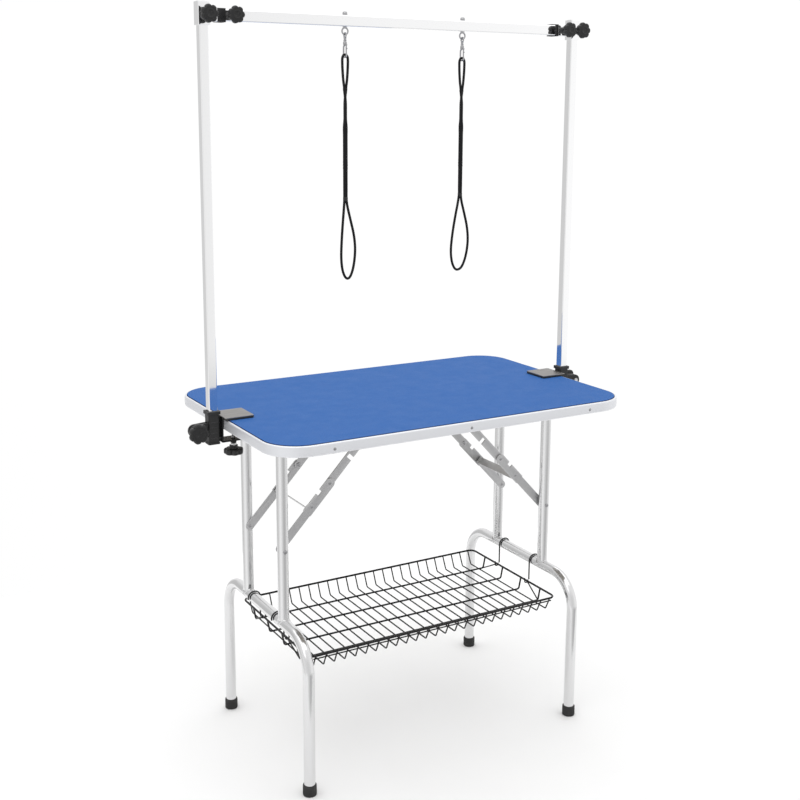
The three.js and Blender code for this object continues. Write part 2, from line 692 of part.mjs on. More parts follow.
function eyeBolt(x) {
  const ring = new THREE.TorusGeometry(7.2, 1.8, 5, 12).rotateX(Math.PI / 2).translate(x, 0, RING_Z);
  const shank = rod('z', 3, [RING_Z + 6.5, 1688], [x, 0], 8);
  const nut = rod('z', 6, [CROSSBAR_Z + CROSSBAR_HALF + GAP, 1688], [x, 0], 6);
  const dome = new THREE.SphereGeometry(5, 8, 5).translate(x, 0, 1687.5);
  return join(ring, shank, nut, dome);
}

// The swivel's eye hangs on the bolt's ring, and the hook turns below it.
function snapSwivel(x) {
  const eye = new THREE.TorusGeometry(5, 1.6, 5, 12).rotateY(Math.PI / 2).translate(x, 0, 1641.1);
  return join(eye, rod('z', 3.6, [1628, 1636.5], [x, 0], 10));
}

function snapHook(x) {
  const [bottom, top] = [1594, 1621];
  const bow = closedWire([[x, -6.5, bottom], [x, 6.5, bottom], [x, 6.5, top], [x, -6.5, top]], 6, 2, 1.9, 6);
  return join(bow, rod('z', 4.2, [1620, 1627.6], [x, 0], 10));
}

// The cord's routes as [distance from the hanger, height], each from one strand to the other.
const NOOSE_EYE = [[-2.8, THICK_TOP_Z - 2], [-4.4, 1546], [-5.6, 1565], [-6.3, 1581], [-6.1, 1591.5],
  [-4, 1597.8], [0, CORD_TOP_Z], [4, 1597.8], [6.1, 1591.5], [6.3, 1581], [5.6, 1565], [4.4, 1546],
  [2.8, THICK_TOP_Z - 2]];
const NOOSE_LOOPS = {
  left: [[-2.6, THICK_BOTTOM_Z + 2], [-2.6, 1312], [-2.6, SLIDER_Z], [-4, 1264], [-7, 1229], [-9.8, 1191],
    [-11.1, 1154], [-8.6, 1127], [-2.6, 1110], [5, 1103.8], [12.8, 1110], [19.6, 1129], [23.4, 1153],
    [24.1, 1177], [20.6, 1205], [12.6, 1237], [5.4, 1266], [2.6, SLIDER_Z], [2.6, 1312],
    [2.6, THICK_BOTTOM_Z + 2]],
  right: [[-2.6, THICK_BOTTOM_Z + 2], [-2.6, 1312], [-2.6, SLIDER_Z], [-5.8, 1264], [-13, 1229],
    [-19.5, 1191], [-23.1, 1155], [-20.6, 1129], [-13.8, 1112], [-4.9, 1105.7], [7, 1111],
    [16.8, 1130], [22.8, 1156], [24.3, 1182], [20.8, 1210], [13, 1240], [5.6, 1267],
    [2.6, SLIDER_Z], [2.6, 1312], [2.6, THICK_BOTTOM_Z + 2]],
};
// The sleeve round the doubled cord, as [height, radius].
const NOOSE_SLEEVE = [[THICK_BOTTOM_Z, 4.7], [1426, 4.7], [1460, 3], [1494, 3], [THICK_TOP_Z, 4.8]];

// The plain stand-in for the noose: the eye, the sleeved double cord and the loop.
function noose(x, word) {
  const strand = (route, steps) => {
    const path = new THREE.CatmullRomCurve3(route.map(([across, z]) => point(x + across, 0, z)));
    return sweep(path, steps, CORD_RADIUS, 6);
  };
  const sleeve = NOOSE_SLEEVE.slice(1).map(([z, radius], i) => {
    const [zBelow, radiusBelow] = NOOSE_SLEEVE[i];
    const piece = new THREE.CylinderGeometry(radius, radiusBelow, z - zBelow, 10);
    return piece.rotateX(Math.PI / 2).translate(x, 0, (z + zBelow) / 2);
  });
  return join(strand(NOOSE_EYE, 26), strand(NOOSE_LOOPS[word], 40), ...sleeve);
}

function nooseSlider(x) {
  const bead = rod('z', 7.2, [SLIDER_Z - 5, SLIDER_Z + 5], [x, 0], 12);
  const slot = box([x - 6.1, x + 6.1], [-2.9, 2.9], [SLIDER_Z - 8, SLIDER_Z + 8]);
  return cut(bead, slot);
}

function addNooses() {
  for (const [word, x] of Object.entries(HANGER_X)) {
    addPart(`${word}_eye_bolt`, eyeBolt(x), 'chrome');
    addPart(`${word}_snap_swivel`, snapSwivel(x), 'chrome');
    addPart(`${word}_snap_hook`, snapHook(x), 'chrome');
    addPart(`${word}_noose`, noose(x, word), 'cord');
    addPart(`${word}_noose_slider`, nooseSlider(x), 'blackPlastic');
  }
}

// ---------------------------------------------------------------- assembly

addTabletop();
for (const [side, word] of [[-1, 'left'], [1, 'right']]) {
  addLegs(side, word);
  addBraces(side, word);
  addClamp(side, word);
}
addBasket();
addOverheadBar();
addNooses();

export default table;
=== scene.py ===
"""A folding pet grooming table, built around its CAD frame.

Shapes are written in millimetres in the frame's own axes: +X along the table, +Y to its
back edge, +Z up from the floor. Left is -X and front is -Y.
"""

import math
import random

import bmesh
import bpy
from mathutils import Matrix, Vector


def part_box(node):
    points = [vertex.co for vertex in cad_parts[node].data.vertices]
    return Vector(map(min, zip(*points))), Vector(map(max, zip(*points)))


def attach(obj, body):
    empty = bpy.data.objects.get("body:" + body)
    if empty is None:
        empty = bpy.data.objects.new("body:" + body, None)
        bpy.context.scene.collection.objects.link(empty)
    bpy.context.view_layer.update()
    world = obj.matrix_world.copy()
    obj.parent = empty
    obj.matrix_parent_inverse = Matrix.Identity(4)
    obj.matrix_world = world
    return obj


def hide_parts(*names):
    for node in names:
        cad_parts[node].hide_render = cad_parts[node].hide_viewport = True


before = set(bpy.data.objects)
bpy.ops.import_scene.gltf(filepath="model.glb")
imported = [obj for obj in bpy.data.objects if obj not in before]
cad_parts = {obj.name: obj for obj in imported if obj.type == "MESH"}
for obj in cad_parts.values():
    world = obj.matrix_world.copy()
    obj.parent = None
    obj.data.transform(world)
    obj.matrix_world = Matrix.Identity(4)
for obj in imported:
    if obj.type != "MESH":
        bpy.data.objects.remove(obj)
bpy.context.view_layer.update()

SIDES = (("left", -1), ("right", 1))
TAU = 2 * math.pi

# Places that several pieces share, in millimetres. X and Y are distances from the middle.
TABLE_HALF_X, TABLE_HALF_Y, TABLE_CORNER = 457, 295, 82
LEG_X, LEG_Y, FOOT_Y = 358.5, 98.5, 224.5
TUBE_RADIUS = 12.7
LOWER_BAR_Z = 353
PIVOT_Z = {-1: 778, 1: 766}  # the right legs fold under the left ones
BRACE_RIVET_DROP = 254  # from a leg set's pivot down to its braces' rivets
HOOK_Y = 66
POST_X = 478
BAR_Z = 1671
CROSSBAR_SCREW_X = 438
LOCK_KNOB_X, LOCK_KNOB_Z = 519, 795
CLAMP_SCREW_X = 429
HANGER_X = {"left": -148, "right": 158}

# ------------------------------------------------------------------ camera, floor, lights


def make_camera():
    place = (-1.40090, -2.38798, 1.49039)
    yaw, pitch, roll = 0.5293, 0.1935, 0.006
    forward = Vector((
        math.sin(yaw) * math.cos(pitch), math.cos(yaw) * math.cos(pitch), -math.sin(pitch)))
    level = Vector((math.cos(yaw), -math.sin(yaw), 0))
    upright = level.cross(forward)
    right = math.cos(roll) * level + math.sin(roll) * upright
    up = math.cos(roll) * upright - math.sin(roll) * level
    data = bpy.data.cameras.new("camera")
    data.lens, data.sensor_width = 53.806, 36
    data.shift_y = -0.075
    data.clip_end = 60
    camera = bpy.data.objects.new("camera", data)
    bpy.context.scene.collection.objects.link(camera)
    turn = Matrix((right, up, -forward)).transposed().to_4x4()
    camera.matrix_world = Matrix.Translation(place) @ turn
    bpy.context.scene.camera = camera


def add_light(name, place, aim, size, power):
    data = bpy.data.lights.new(name, "AREA")
    data.shape = "RECTANGLE"
    data.size, data.size_y = size
    data.energy = power
    light = bpy.data.objects.new(name, data)
    bpy.context.scene.collection.objects.link(light)
    light.location = place
    light.rotation_mode = "QUATERNION"
    light.rotation_quaternion = (Vector(aim) - Vector(place)).to_track_quat("-Z", "Y")


# Brightness of the studio by compass direction, as (share of a full turn, level).
LOW_WALLS = (
    (0.0, 0.95), (0.049, 1.11), (0.1075, 1.08), (0.166, 0.89), (0.224, 0.68), (0.2825, 0.53),
    (0.349, 0.61), (0.427, 0.9), (0.53, 1.0), (0.666, 1.02), (0.72, 1.0), (0.803, 0.78),
    (0.905, 0.72), (0.9825, 0.89), (1.0, 0.95))
HIGH_WALLS = (
    (0.0, 0.95), (0.2, 0.8), (0.3, 0.88), (0.333, 0.98), (0.361, 1.04), (0.53, 1.02), (0.666, 1.02),
    (0.73, 1.0), (0.78, 0.68), (0.88, 0.64), (0.95, 0.85), (1.0, 0.95))
BRIGHTEST_WALL = 1.11


def make_world():
    """A white studio whose walls vary with direction and height, under a bright ceiling."""
    world = bpy.data.worlds.new("studio")
    bpy.context.scene.world = world
    world.use_nodes = True
    nodes, links = world.node_tree.nodes, world.node_tree.links
    background = nodes["Background"]
    coords = nodes.new("ShaderNodeTexCoord").outputs["Generated"]
    turn = nodes.new("ShaderNodeTexGradient")
    turn.gradient_type = "RADIAL"
    links.new(coords, turn.inputs["Vector"])
    split = nodes.new("ShaderNodeSeparateXYZ")
    links.new(coords, split.inputs[0])

    def walls(levels):
        ramp = nodes.new("ShaderNodeValToRGB")
        links.new(turn.outputs["Fac"], ramp.inputs[0])
        stops = ramp.color_ramp.elements
        for number, (place, level) in enumerate(levels):
            if number == 0:
                stop = stops[0]
            elif number == len(levels) - 1:
                stop = stops[-1]
            else:
                stop = stops.new(place)
            share = level / BRIGHTEST_WALL
            stop.position, stop.color = place, (share, share, share, 1)
        return ramp.outputs[0]

    def above(low, high, below_color, above_color):
        """Turns from one colour to the other between two heights of the view's direction."""
        height = nodes.new("ShaderNodeMapRange")
        height.inputs["From Min"].default_value = low
        height.inputs["From Max"].default_value = high
        links.new(split.outputs["Z"], height.inputs["Value"])
        mix = nodes.new("ShaderNodeMix")
        mix.data_type = "RGBA"
        links.new(height.outputs[0], mix.inputs["Factor"])
        for color, socket in ((below_color, mix.inputs[6]), (above_color, mix.inputs[7])):
            if isinstance(color, tuple):
                socket.default_value = color
            else:
                links.new(color, socket)
        return mix.outputs[2]

    ceiling = (0.9, 0.9, 0.9, 1)
    low_sides = above(-0.75, -0.6, ceiling, walls(LOW_WALLS))
    sides = above(-0.27, -0.2, low_sides, walls(HIGH_WALLS))
    links.new(above(0.3, 0.7, sides, ceiling), background.inputs["Color"])
    background.inputs["Strength"].default_value = BRIGHTEST_WALL


# ------------------------------------------------------------------ materials


class Finish:
    """A Principled material with procedural detail laid over it."""

    def __init__(self, name, color, roughness, metallic=0.0, coat=0.0, specular=0.5):
        self.material = bpy.data.materials.new(name)
        self.material.use_nodes = True
        self.nodes = self.material.node_tree.nodes
        self.links = self.material.node_tree.links
        self.shader = self.nodes["Principled BSDF"]
        self.color = (*color, 1)
        self.roughness = roughness
        self.put("Base Color", self.color)
        self.put("Roughness", roughness)
        self.put("Metallic", metallic)
        self.put("Coat Weight", coat)
        self.put("Specular IOR Level", specular)
        coords = self.nodes.new("ShaderNodeTexCoord")
        self.place = coords.outputs["Object"]
        self.heights = []

    def put(self, socket, value):
        self.shader.inputs[socket].default_value = value

    def stretched(self, scale):
        mapping = self.nodes.new("ShaderNodeMapping")
        mapping.inputs["Scale"].default_value = scale
        self.links.new(self.place, mapping.inputs["Vector"])
        return mapping.outputs[0]

    def noise(self, scale, detail=3.0, stretch=(1, 1, 1), rough=0.5):
        noise = self.nodes.new("ShaderNodeTexNoise")
        noise.inputs["Scale"].default_value = scale
        noise.inputs["Detail"].default_value = detail
        noise.inputs["Roughness"].default_value = rough
        self.links.new(self.stretched(stretch), noise.inputs["Vector"])
        return noise.outputs["Fac"]

    def wave(self, pitch, axis, distortion=0.0, profile="SIN"):
        """Bands across one axis, `pitch` metres apart."""
        wave = self.nodes.new("ShaderNodeTexWave")
        wave.wave_profile = profile
        wave.bands_direction = axis
        wave.inputs["Scale"].default_value = TAU / (20 * pitch)
        wave.inputs["Distortion"].default_value = distortion
        wave.inputs["Detail"].default_value = 0
        self.links.new(self.place, wave.inputs["Vector"])
        return wave.outputs["Fac"]

    def cells(self, scale, feature="F1"):
        cells = self.nodes.new("ShaderNodeTexVoronoi")
        cells.feature = feature
        cells.inputs["Scale"].default_value = scale
        self.links.new(self.place, cells.inputs["Vector"])
        return cells.outputs["Distance"]

    def worn(self):
        """High on sharp outer edges, low elsewhere."""
        geometry = self.nodes.new("ShaderNodeNewGeometry")
        return self.ranged(geometry.outputs["Pointiness"], 0.52, 0.62, 0, 1)

    def ranged(self, value, low, high, to_low, to_high):
        remap = self.nodes.new("ShaderNodeMapRange")
        for socket, number in zip(remap.inputs[1:5], (low, high, to_low, to_high)):
            socket.default_value = number
        self.links.new(value, remap.inputs["Value"])
        return remap.outputs[0]

    def math(self, operation, a, b):
        node = self.nodes.new("ShaderNodeMath")
        node.operation = operation
        for socket, value in zip(node.inputs, (a, b)):
            if isinstance(value, (int, float)):
                socket.default_value = value
            else:
                self.links.new(value, socket)
        return node.outputs[0]

    def tint(self, value, other):
        """Mixes another colour in where the value is high."""
        mix = self.nodes.new("ShaderNodeMix")
        mix.data_type = "RGBA"
        self.links.new(value, mix.inputs["Factor"])
        base = self.shader.inputs["Base Color"]
        if base.links:
            self.links.new(base.links[0].from_socket, mix.inputs[6])
        else:
            mix.inputs[6].default_value = self.color
        mix.inputs[7].default_value = (*other, 1)
        self.links.new(mix.outputs[2], base)
        return self

    def vary_roughness(self, value, low, high):
        self.links.new(self.ranged(value, 0.3, 0.7, low, high), self.shader.inputs["Roughness"])
        return self

    def bump(self, value, depth, strength=1.0):
        """Raises the surface by `depth` metres where the value is 1."""
        node = self.nodes.new("ShaderNodeBump")
        node.inputs["Strength"].default_value = strength
        node.inputs["Distance"].default_value = depth
        self.links.new(value, node.inputs["Height"])
        normal = self.shader.inputs["Normal"]
        if normal.links:
            self.links.new(normal.links[0].from_socket, node.inputs["Normal"])
        self.links.new(node.outputs[0], normal)
        return self


def make_finishes():
    """Noise scales are per metre, pitches and bump depths in metres."""
    made = {}

    mat = Finish("blue_ribbed_rubber", (0.033, 0.13, 0.40), 0.7, specular=0.12)
    ribs = mat.math("MULTIPLY", mat.wave(0.0046, "X"), mat.wave(0.0046, "Y"))
    # Darker blue is painted into the grooves between the ribs, where the bump is low: painted shade in
    # the grooves.
    mat.tint(mat.ranged(ribs, 0.0, 0.5, 0.55, 0.0), (0.02, 0.085, 0.28))
    mat.tint(mat.ranged(mat.noise(420, 2), 0.4, 0.7, 0, 0.3), (0.05, 0.17, 0.47))
    mat.vary_roughness(mat.noise(30), 0.58, 0.68)
    mat.bump(ribs, 0.0005, 0.7).bump(mat.noise(900, 2), 0.00008, 0.5)
    made["mat"] = mat

    # Near-black blue for the mat's rim and side faces: painted shade, a dark line where the mat meets the
    # trim.
    edge = Finish("mat_border_painted_shade", (0.01, 0.03, 0.11), 0.85, specular=0.1)
    edge.tint(edge.noise(400), (0.014, 0.04, 0.14)).bump(edge.noise(700), 0.0001)
    made["mat_edge"] = edge

    board = Finish("board_underside", (0.36, 0.335, 0.30), 0.75)
    board.tint(board.ranged(board.noise(160, 5, (0.15, 1, 1)), 0.35, 0.7, 0, 0.7), (0.27, 0.25, 0.22))
    board.bump(board.noise(500, 3, (0.2, 1, 1)), 0.0002, 0.6)
    made["board"] = board

    trim = Finish("satin_aluminium_trim", (0.76, 0.77, 0.80), 0.42, 0.55, coat=0.15)
    trim.vary_roughness(trim.noise(260, 3, (1, 1, 14)), 0.36, 0.5)
    trim.bump(trim.noise(1200, 2, (1, 1, 10)), 0.00003, 0.4)
    trim.tint(trim.worn(), (0.9, 0.9, 0.92))
    made["trim"] = trim

    tube = Finish("satin_chromed_tube", (0.74, 0.74, 0.745), 0.16, 1.0)
    tube.vary_roughness(tube.noise(60, 3, (1, 1, 0.1)), 0.14, 0.18)
    made["tube"] = tube

    chrome = Finish("polished_chrome", (0.93, 0.93, 0.935), 0.05, 1.0)
    chrome.vary_roughness(chrome.noise(40, 3), 0.04, 0.07)
    made["chrome"] = chrome

    fitting = Finish("nickel_fitting", (0.4, 0.4, 0.41), 0.13, 1.0)
    fitting.vary_roughness(fitting.noise(150, 3), 0.1, 0.2)
    fitting.bump(fitting.noise(500, 2), 0.00002, 0.3)
    made["fitting"] = fitting

    zinc = Finish("zinc_plated_steel", (0.5, 0.5, 0.505), 0.42, 0.9)
    zinc.tint(zinc.ranged(zinc.cells(210), 0.1, 0.7, 0, 0.5), (0.45, 0.45, 0.46))
    zinc.vary_roughness(zinc.noise(90, 4), 0.33, 0.5)
    zinc.tint(zinc.worn(), (0.8, 0.8, 0.8)).bump(zinc.noise(650, 3), 0.00004, 0.5)
    made["zinc"] = zinc

    jaw = Finish("clamp_steel", (0.2, 0.19, 0.185), 0.38, 0.85)
    jaw.tint(jaw.ranged(jaw.noise(140, 4, (0.1, 1, 1)), 0.35, 0.75, 0, 0.6), (0.19, 0.178, 0.17))
    jaw.vary_roughness(jaw.noise(200, 3, (0.1, 1, 1)), 0.3, 0.48)
    jaw.tint(jaw.worn(), (0.45, 0.44, 0.43)).bump(jaw.noise(900, 2, (0.1, 1, 1)), 0.00003, 0.5)
    made["jaw"] = jaw

    plastic = Finish("moulded_black_plastic", (0.012, 0.012, 0.0125), 0.4, specular=0.35)
    plastic.bump(plastic.noise(1500, 2), 0.00005, 0.6)
    plastic.vary_roughness(plastic.noise(70, 3), 0.34, 0.5)
    plastic.tint(plastic.worn(), (0.04, 0.04, 0.041))
    made["plastic"] = plastic

    rubber = Finish("black_rubber", (0.018, 0.018, 0.018), 0.7)
    rubber.tint(rubber.ranged(rubber.noise(60, 4), 0.5, 0.8, 0, 0.5), (0.05, 0.05, 0.05))
    rubber.bump(rubber.noise(1100, 3), 0.00008, 0.6)
    made["rubber"] = rubber

    wire = Finish("black_coated_wire", (0.004, 0.004, 0.0045), 0.3, specular=0.3)
    wire.vary_roughness(wire.noise(200, 3), 0.2, 0.32)
    wire.bump(wire.noise(500, 2), 0.00005, 0.5)
    made["wire"] = wire

    cord = Finish("braided_black_cord", (0.006, 0.006, 0.0065), 0.85, specular=0.2)
    cord.put("Sheen Weight", 0.05)
    braid = cord.math("MULTIPLY", cord.wave(0.0016, "DIAGONAL"), cord.wave(0.0019, "Z"))
    # The braid's raised strands are painted lighter where the bump is high: a painted highlight on the
    # crests.
    cord.tint(cord.ranged(braid, 0.2, 0.8, 0, 0.8), (0.022, 0.022, 0.024)).bump(braid, 0.0003)
    made["cord"] = cord
    return {key: finish.material for key, finish in made.items()}


def make_floor():
    finish = Finish("pale_floor", (0.93, 0.93, 0.93), 0.9, specular=0.1)
    finish.tint(finish.ranged(finish.noise(3, 2), 0.4, 0.7, 0, 0.5), (0.95, 0.95, 0.95))
    mesh = bpy.data.meshes.new("floor")
    x, front, back = 1.1, -0.6, 1.2
    mesh.from_pydata([(-x, front, 0), (x, front, 0), (x, back, 0), (-x, back, 0)], [], [(0, 1, 2, 3)])
    mesh.materials.append(finish.material)
    floor = bpy.data.objects.new("floor", mesh)
    bpy.context.scene.collection.objects.link(floor)


# ------------------------------------------------------------------ shapes


class Form:
    """Closed shells in millimetres: points, and the faces between them."""

    def __init__(self, points=(), faces=()):
        self.points = [Vector(p) for p in points]
        self.faces = [list(f) for f in faces]

    def __add__(self, other):
        first = len(self.points)
        moved = [[i + first for i in face] for face in other.faces]
        return Form(self.points + other.points, self.faces + moved)

    def moved(self, x, y, z):
        return Form([p + Vector((x, y, z)) for p in self.points], self.faces)

    def turned(self, axis, degrees):
        turn = Matrix.Rotation(math.radians(degrees), 3, axis)
        return Form([turn @ p for p in self.points], self.faces)

    def mirrored(self, x=1, y=1):
        return Form([(p.x * x, p.y * y, p.z) for p in self.points], self.faces)


def loft(rings, joined=False):
    """A skin over rings of points, capped unless the last ring joins the first."""
    count = len(rings[0])
    faces = []
    for i in range(len(rings) if joined else len(rings) - 1):
        a, b = i * count, (i + 1) % len(rings) * count
        for k in range(count):
            after = (k + 1) % count
            faces.append([a + k, a + after, b + after, b + k])
    if not joined:
        last = (len(rings) - 1) * count
        faces.append(list(reversed(range(count))))
        faces.append([last + k for k in range(count)])
    return Form([p for ring in rings for p in ring], faces)


def circle(radius, sides):
    return [(radius * math.cos(TAU * k / sides), radius * math.sin(TAU * k / sides))
            for k in range(sides)]


def rounded(half_x, half_y, corner, steps=4):
    """A rectangle's outline with round corners, about the origin."""
    outline = []
    for quarter, (sx, sy) in enumerate(((1, 1), (-1, 1), (-1, -1), (1, -1))):
        for k in range(steps + 1):
            angle = (quarter + k / steps) * math.pi / 2
            outline.append((sx * (half_x - corner) + corner * math.cos(angle),
                            sy * (half_y - corner) + corner * math.sin(angle)))
    return outline


def prism(outline, low, high, axis="z"):
    """An outline drawn out along an axis: its two numbers are the other axes in order."""
    def at(p, level):
        if axis == "x":
            return (level, p[0], p[1])
        if axis == "y":
            return (p[0], level, p[1])
        return (p[0], p[1], level)
    return loft([[at(p, low) for p in outline], [at(p, high) for p in outline]])


def block(x, y, z):
    outline = [(x[0], y[0]), (x[1], y[0]), (x[1], y[1]), (x[0], y[1])]
    return prism(outline, z[0], z[1])


def lathe(profile, sides=32, axis="z"):
    """Rings of (radius, height), capped flat at both ends, turned to lie along an axis."""
    form = loft([[(u, v, z) for u, v in circle(r, sides)] for r, z in profile])
    if axis == "x":
        return form.turned("Y", 90)
    if axis == "y":
        return form.turned("X", -90)
    return form


def bent_path(corners, radius, steps, closed=False):
    """(point, direction) stops along a path through corners, with round bends."""
    corners = [Vector(c) for c in corners]
    count = len(corners)
    stops = []
    for i, corner in enumerate(corners):
        inward = (corner - corners[i - 1]).normalized()
        outward = (corners[(i + 1) % count] - corner).normalized()
        if not closed and i == 0:
            stops.append((corner, outward))
        elif not closed and i == count - 1:
            stops.append((corner, inward))
        else:
            bend = inward.angle(outward)
            begin = corner - inward * radius * math.tan(bend / 2)
            side = (outward - inward * outward.dot(inward)).normalized()
            for k in range(steps + 1):
                turned = bend * k / steps
                stops.append((
                    begin + inward * radius * math.sin(turned)
                    + side * radius * (1 - math.cos(turned)),
                    inward * math.cos(turned) + side * math.sin(turned)))
    return stops


def smooth_path(points, steps):
    """A Catmull-Rom curve through points, as (point, direction) stops."""
    points = [Vector(p) for p in points]
    ends = [2 * points[0] - points[1], *points, 2 * points[-1] - points[-2]]
    line = []
    for i in range(1, len(ends) - 2):
        a, b, c, d = ends[i - 1:i + 3]
        for k in range(steps):
            t = k / steps
            line.append(0.5 * ((2 * b) + (c - a) * t + (2 * a - 5 * b + 4 * c - d) * t * t
                               + (3 * b - a - 3 * c + d) * t ** 3))
    line.append(points[-1])
    stops = []
    for i, p in enumerate(line):
        ahead, behind = line[min(i + 1, len(line) - 1)], line[max(i - 1, 0)]
        stops.append((p, (ahead - behind).normalized()))
    return stops


def sweep(stops, section, closed=False, across=None):
    """A section, or a function of the stop's number that gives one, along a path."""
    direction = stops[0][1]
    side = Vector(across) if across else direction.orthogonal().normalized()
    rings = []
    for number, (place, along) in enumerate(stops):
        side = direction.rotation_difference(along) @ side
        side = (side - along * side.dot(along)).normalized()
        up = along.cross(side)
        direction = along
        outline = section(number) if callable(section) else section
        rings.append([place + side * u + up * v for u, v in outline])
    return loft(rings, joined=closed)


def ring(middle, radius, wire, normal, sides=32, wire_sides=12):
    """A closed round ring of wire."""
    normal = Vector(normal).normalized()
    u = normal.orthogonal().normalized()
    v = normal.cross(u)
    stops = []
    for k in range(sides):
        angle = TAU * k / sides
        stops.append((Vector(middle) + radius * (u * math.cos(angle) + v * math.sin(angle)),
                      v * math.cos(angle) - u * math.sin(angle)))
    return sweep(stops, circle(wire, wire_sides), closed=True, across=normal)


def make(name, form, material, body, stands_for=(), bevel=0.0, segments=2, sharp=38):
    """Turns a form into a piece that rides on a body. The bevel is in millimetres."""
    mesh = bpy.data.meshes.new(name)
    mesh.from_pydata([p / 1000 for p in form.points], [], form.faces)
    work = bmesh.new()
    work.from_mesh(mesh)
    bmesh.ops.recalc_face_normals(work, faces=work.faces)
    work.to_mesh(mesh)
    work.free()
    mesh.shade_smooth()
    mesh.set_sharp_from_angle(angle=math.radians(sharp))
    mesh.materials.append(FINISH[material])
    piece = bpy.data.objects.new(name, mesh)
    bpy.context.scene.collection.objects.link(piece)
    if bevel:
        modifier = piece.modifiers.new("bevel", "BEVEL")
        modifier.width = bevel / 1000
        modifier.segments = segments
        modifier.limit_method = "ANGLE"
        modifier.angle_limit = math.radians(35)
    flatten = piece.modifiers.new("flat_faces", "WEIGHTED_NORMAL")
    flatten.keep_sharp = True
    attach(piece, body)
    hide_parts(*([stands_for] if isinstance(stands_for, str) else stands_for))
    return piece


def box_mm(node):
    low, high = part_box(node)
    return low * 1000, high * 1000


# ------------------------------------------------------------------ nooses

# The cord's route as (distance from the hanger, height): the eye, then the two loops.
NOOSE_EYE = ((0.25, 1599.9), (4.2, 1597.8), (6.7, 1591.5), (6.9, 1580), (6.1, 1563), (4.6, 1545))
NOOSE_LOOP = {
    "left": ((4.8, 1268), (12.6, 1237), (20.6, 1205), (24.1, 1177), (23.4, 1153), (19.6, 1129),
             (12.8, 1110), (5, 1103.8), (-2.6, 1110), (-8.6, 1127), (-11.1, 1154), (-9.8, 1191),
             (-7, 1229), (-3.8, 1266)),
    "right": ((5, 1268), (13, 1240), (20.8, 1210), (24.3, 1182), (22.8, 1156), (16.8, 1130), (7, 1111),
              (-4.9, 1105.7), (-13.8, 1112), (-20.6, 1129), (-23.1, 1155), (-19.5, 1191), (-13, 1229),
              (-5.4, 1266)),
}
CORD_RADIUS = 2.9
STRAND_REACH = 2.6  # from the doubled cord's middle to each strand's: they are pressed together
STRAND_TWIST = ((1536, 0), (1492, 90), (1462, 90), (1424, 180))  # height, degrees
STRAND_HEIGHTS = (1530, 1517, 1504, 1491, 1477, 1463, 1450, 1437, 1424, 1405, 1385, 1365, 1345, 1325,
                  1305, 1286)
SLEEVE_TOP, SLEEVE_BOTTOM = 1531, 1346
SLEEVE_HALF_WIDTH, SLEEVE_HALF_DEPTH = 5.6, 3.2
SLEEVE_END = (0.82, 0.97, 1.05, 0.99, 1.05, 0.99, 1.04)  # shares of its size, from the end inward
BEAD_HALF_WIDTH, BEAD_HALF_DEPTH = 5.9, 3.7


def twist(z):
    """How far the two strands have turned round one another at a height, in degrees."""
    for (top, before), (bottom, after) in zip(STRAND_TWIST, STRAND_TWIST[1:]):
        if z >= top:
            return before
        if z > bottom:
            share = (top - z) / (top - bottom)
            return before + (after - before) * share * share * (3 - 2 * share)
    return STRAND_TWIST[-1][1]


def noose_route(x, word):
    """The cord's middle line: down one strand, round the loop and back up the other."""
    def strand(sign):
        points = [(x + sign * u, 0, z) for u, z in NOOSE_EYE]
        for z in STRAND_HEIGHTS:
            angle = math.radians(twist(z))
            reach = sign * STRAND_REACH
            points.append((x + reach * math.cos(angle), reach * math.sin(angle), z))
        return points
    loop = [(x + u, 0, z) for u, z in NOOSE_LOOP[word]]
    return strand(-1) + loop + strand(1)[::-1]


def noose_sleeve(x, levels=56, sides=28):
    """A flat oval sleeve that turns with the strands inside it and is crimped at both ends."""
    rings = []
    for k in range(levels + 1):
        z = SLEEVE_TOP - (SLEEVE_TOP - SLEEVE_BOTTOM) * k / levels
        angle = math.radians(twist(z))
        from_end = min(k, levels - k)
        size = SLEEVE_END[from_end] if from_end < len(SLEEVE_END) else 1.0
        line = []
        for u, v in circle(1, sides):
            a = SLEEVE_HALF_WIDTH * size * math.copysign(abs(u) ** 0.8, u)
            b = SLEEVE_HALF_DEPTH * size * math.copysign(abs(v) ** 0.8, v)
            line.append((x + a * math.cos(angle) - b * math.sin(angle),
                         a * math.sin(angle) + b * math.cos(angle), z))
        rings.append(line)
    return loft(rings)


def slider_bead(x, sides=28):
    """The oval bead that closes the loop, from (share of its size, height)."""
    profile = ((0.86, 1279.6), (0.97, 1280), (1, 1281), (1, 1287), (0.97, 1288), (0.86, 1288.4))
    return loft([[(x + u * BEAD_HALF_WIDTH, v * BEAD_HALF_DEPTH, z) for u, v in circle(share, sides)]
                 for share, z in profile])


def make_noose(word):
    x = HANGER_X[word]
    body = f"{word}_snap_hook"
    stops = smooth_path(noose_route(x, word), 5)
    tube = sweep(stops, circle(CORD_RADIUS, 12), across=(0, 1, 0))
    cord = make(f"{word}_noose_cord", tube, "cord", body, f"{word}_noose")
    sleeve = make(f"{word}_noose_sleeve", noose_sleeve(x), "cord", body)
    bead = make(f"{word}_slider", slider_bead(x), "plastic", f"{word}_noose_slider",
                f"{word}_noose_slider")


# ------------------------------------------------------------------ tabletop

TRIM_SCREW_X = (-328.5, 6.3, 333.4)
TRIM_SCREW_Y, TRIM_SCREW_Z = 293.7315, 803


def table_rings(profile):
    """The table's outline, once for each (distance in from its edge, height)."""
    rings = []
    for inset, z in profile:
        outline = rounded(TABLE_HALF_X - inset, TABLE_HALF_Y - inset, TABLE_CORNER - inset, 14)
        rings.append([(u, v, z) for u, v in outline])
    return rings


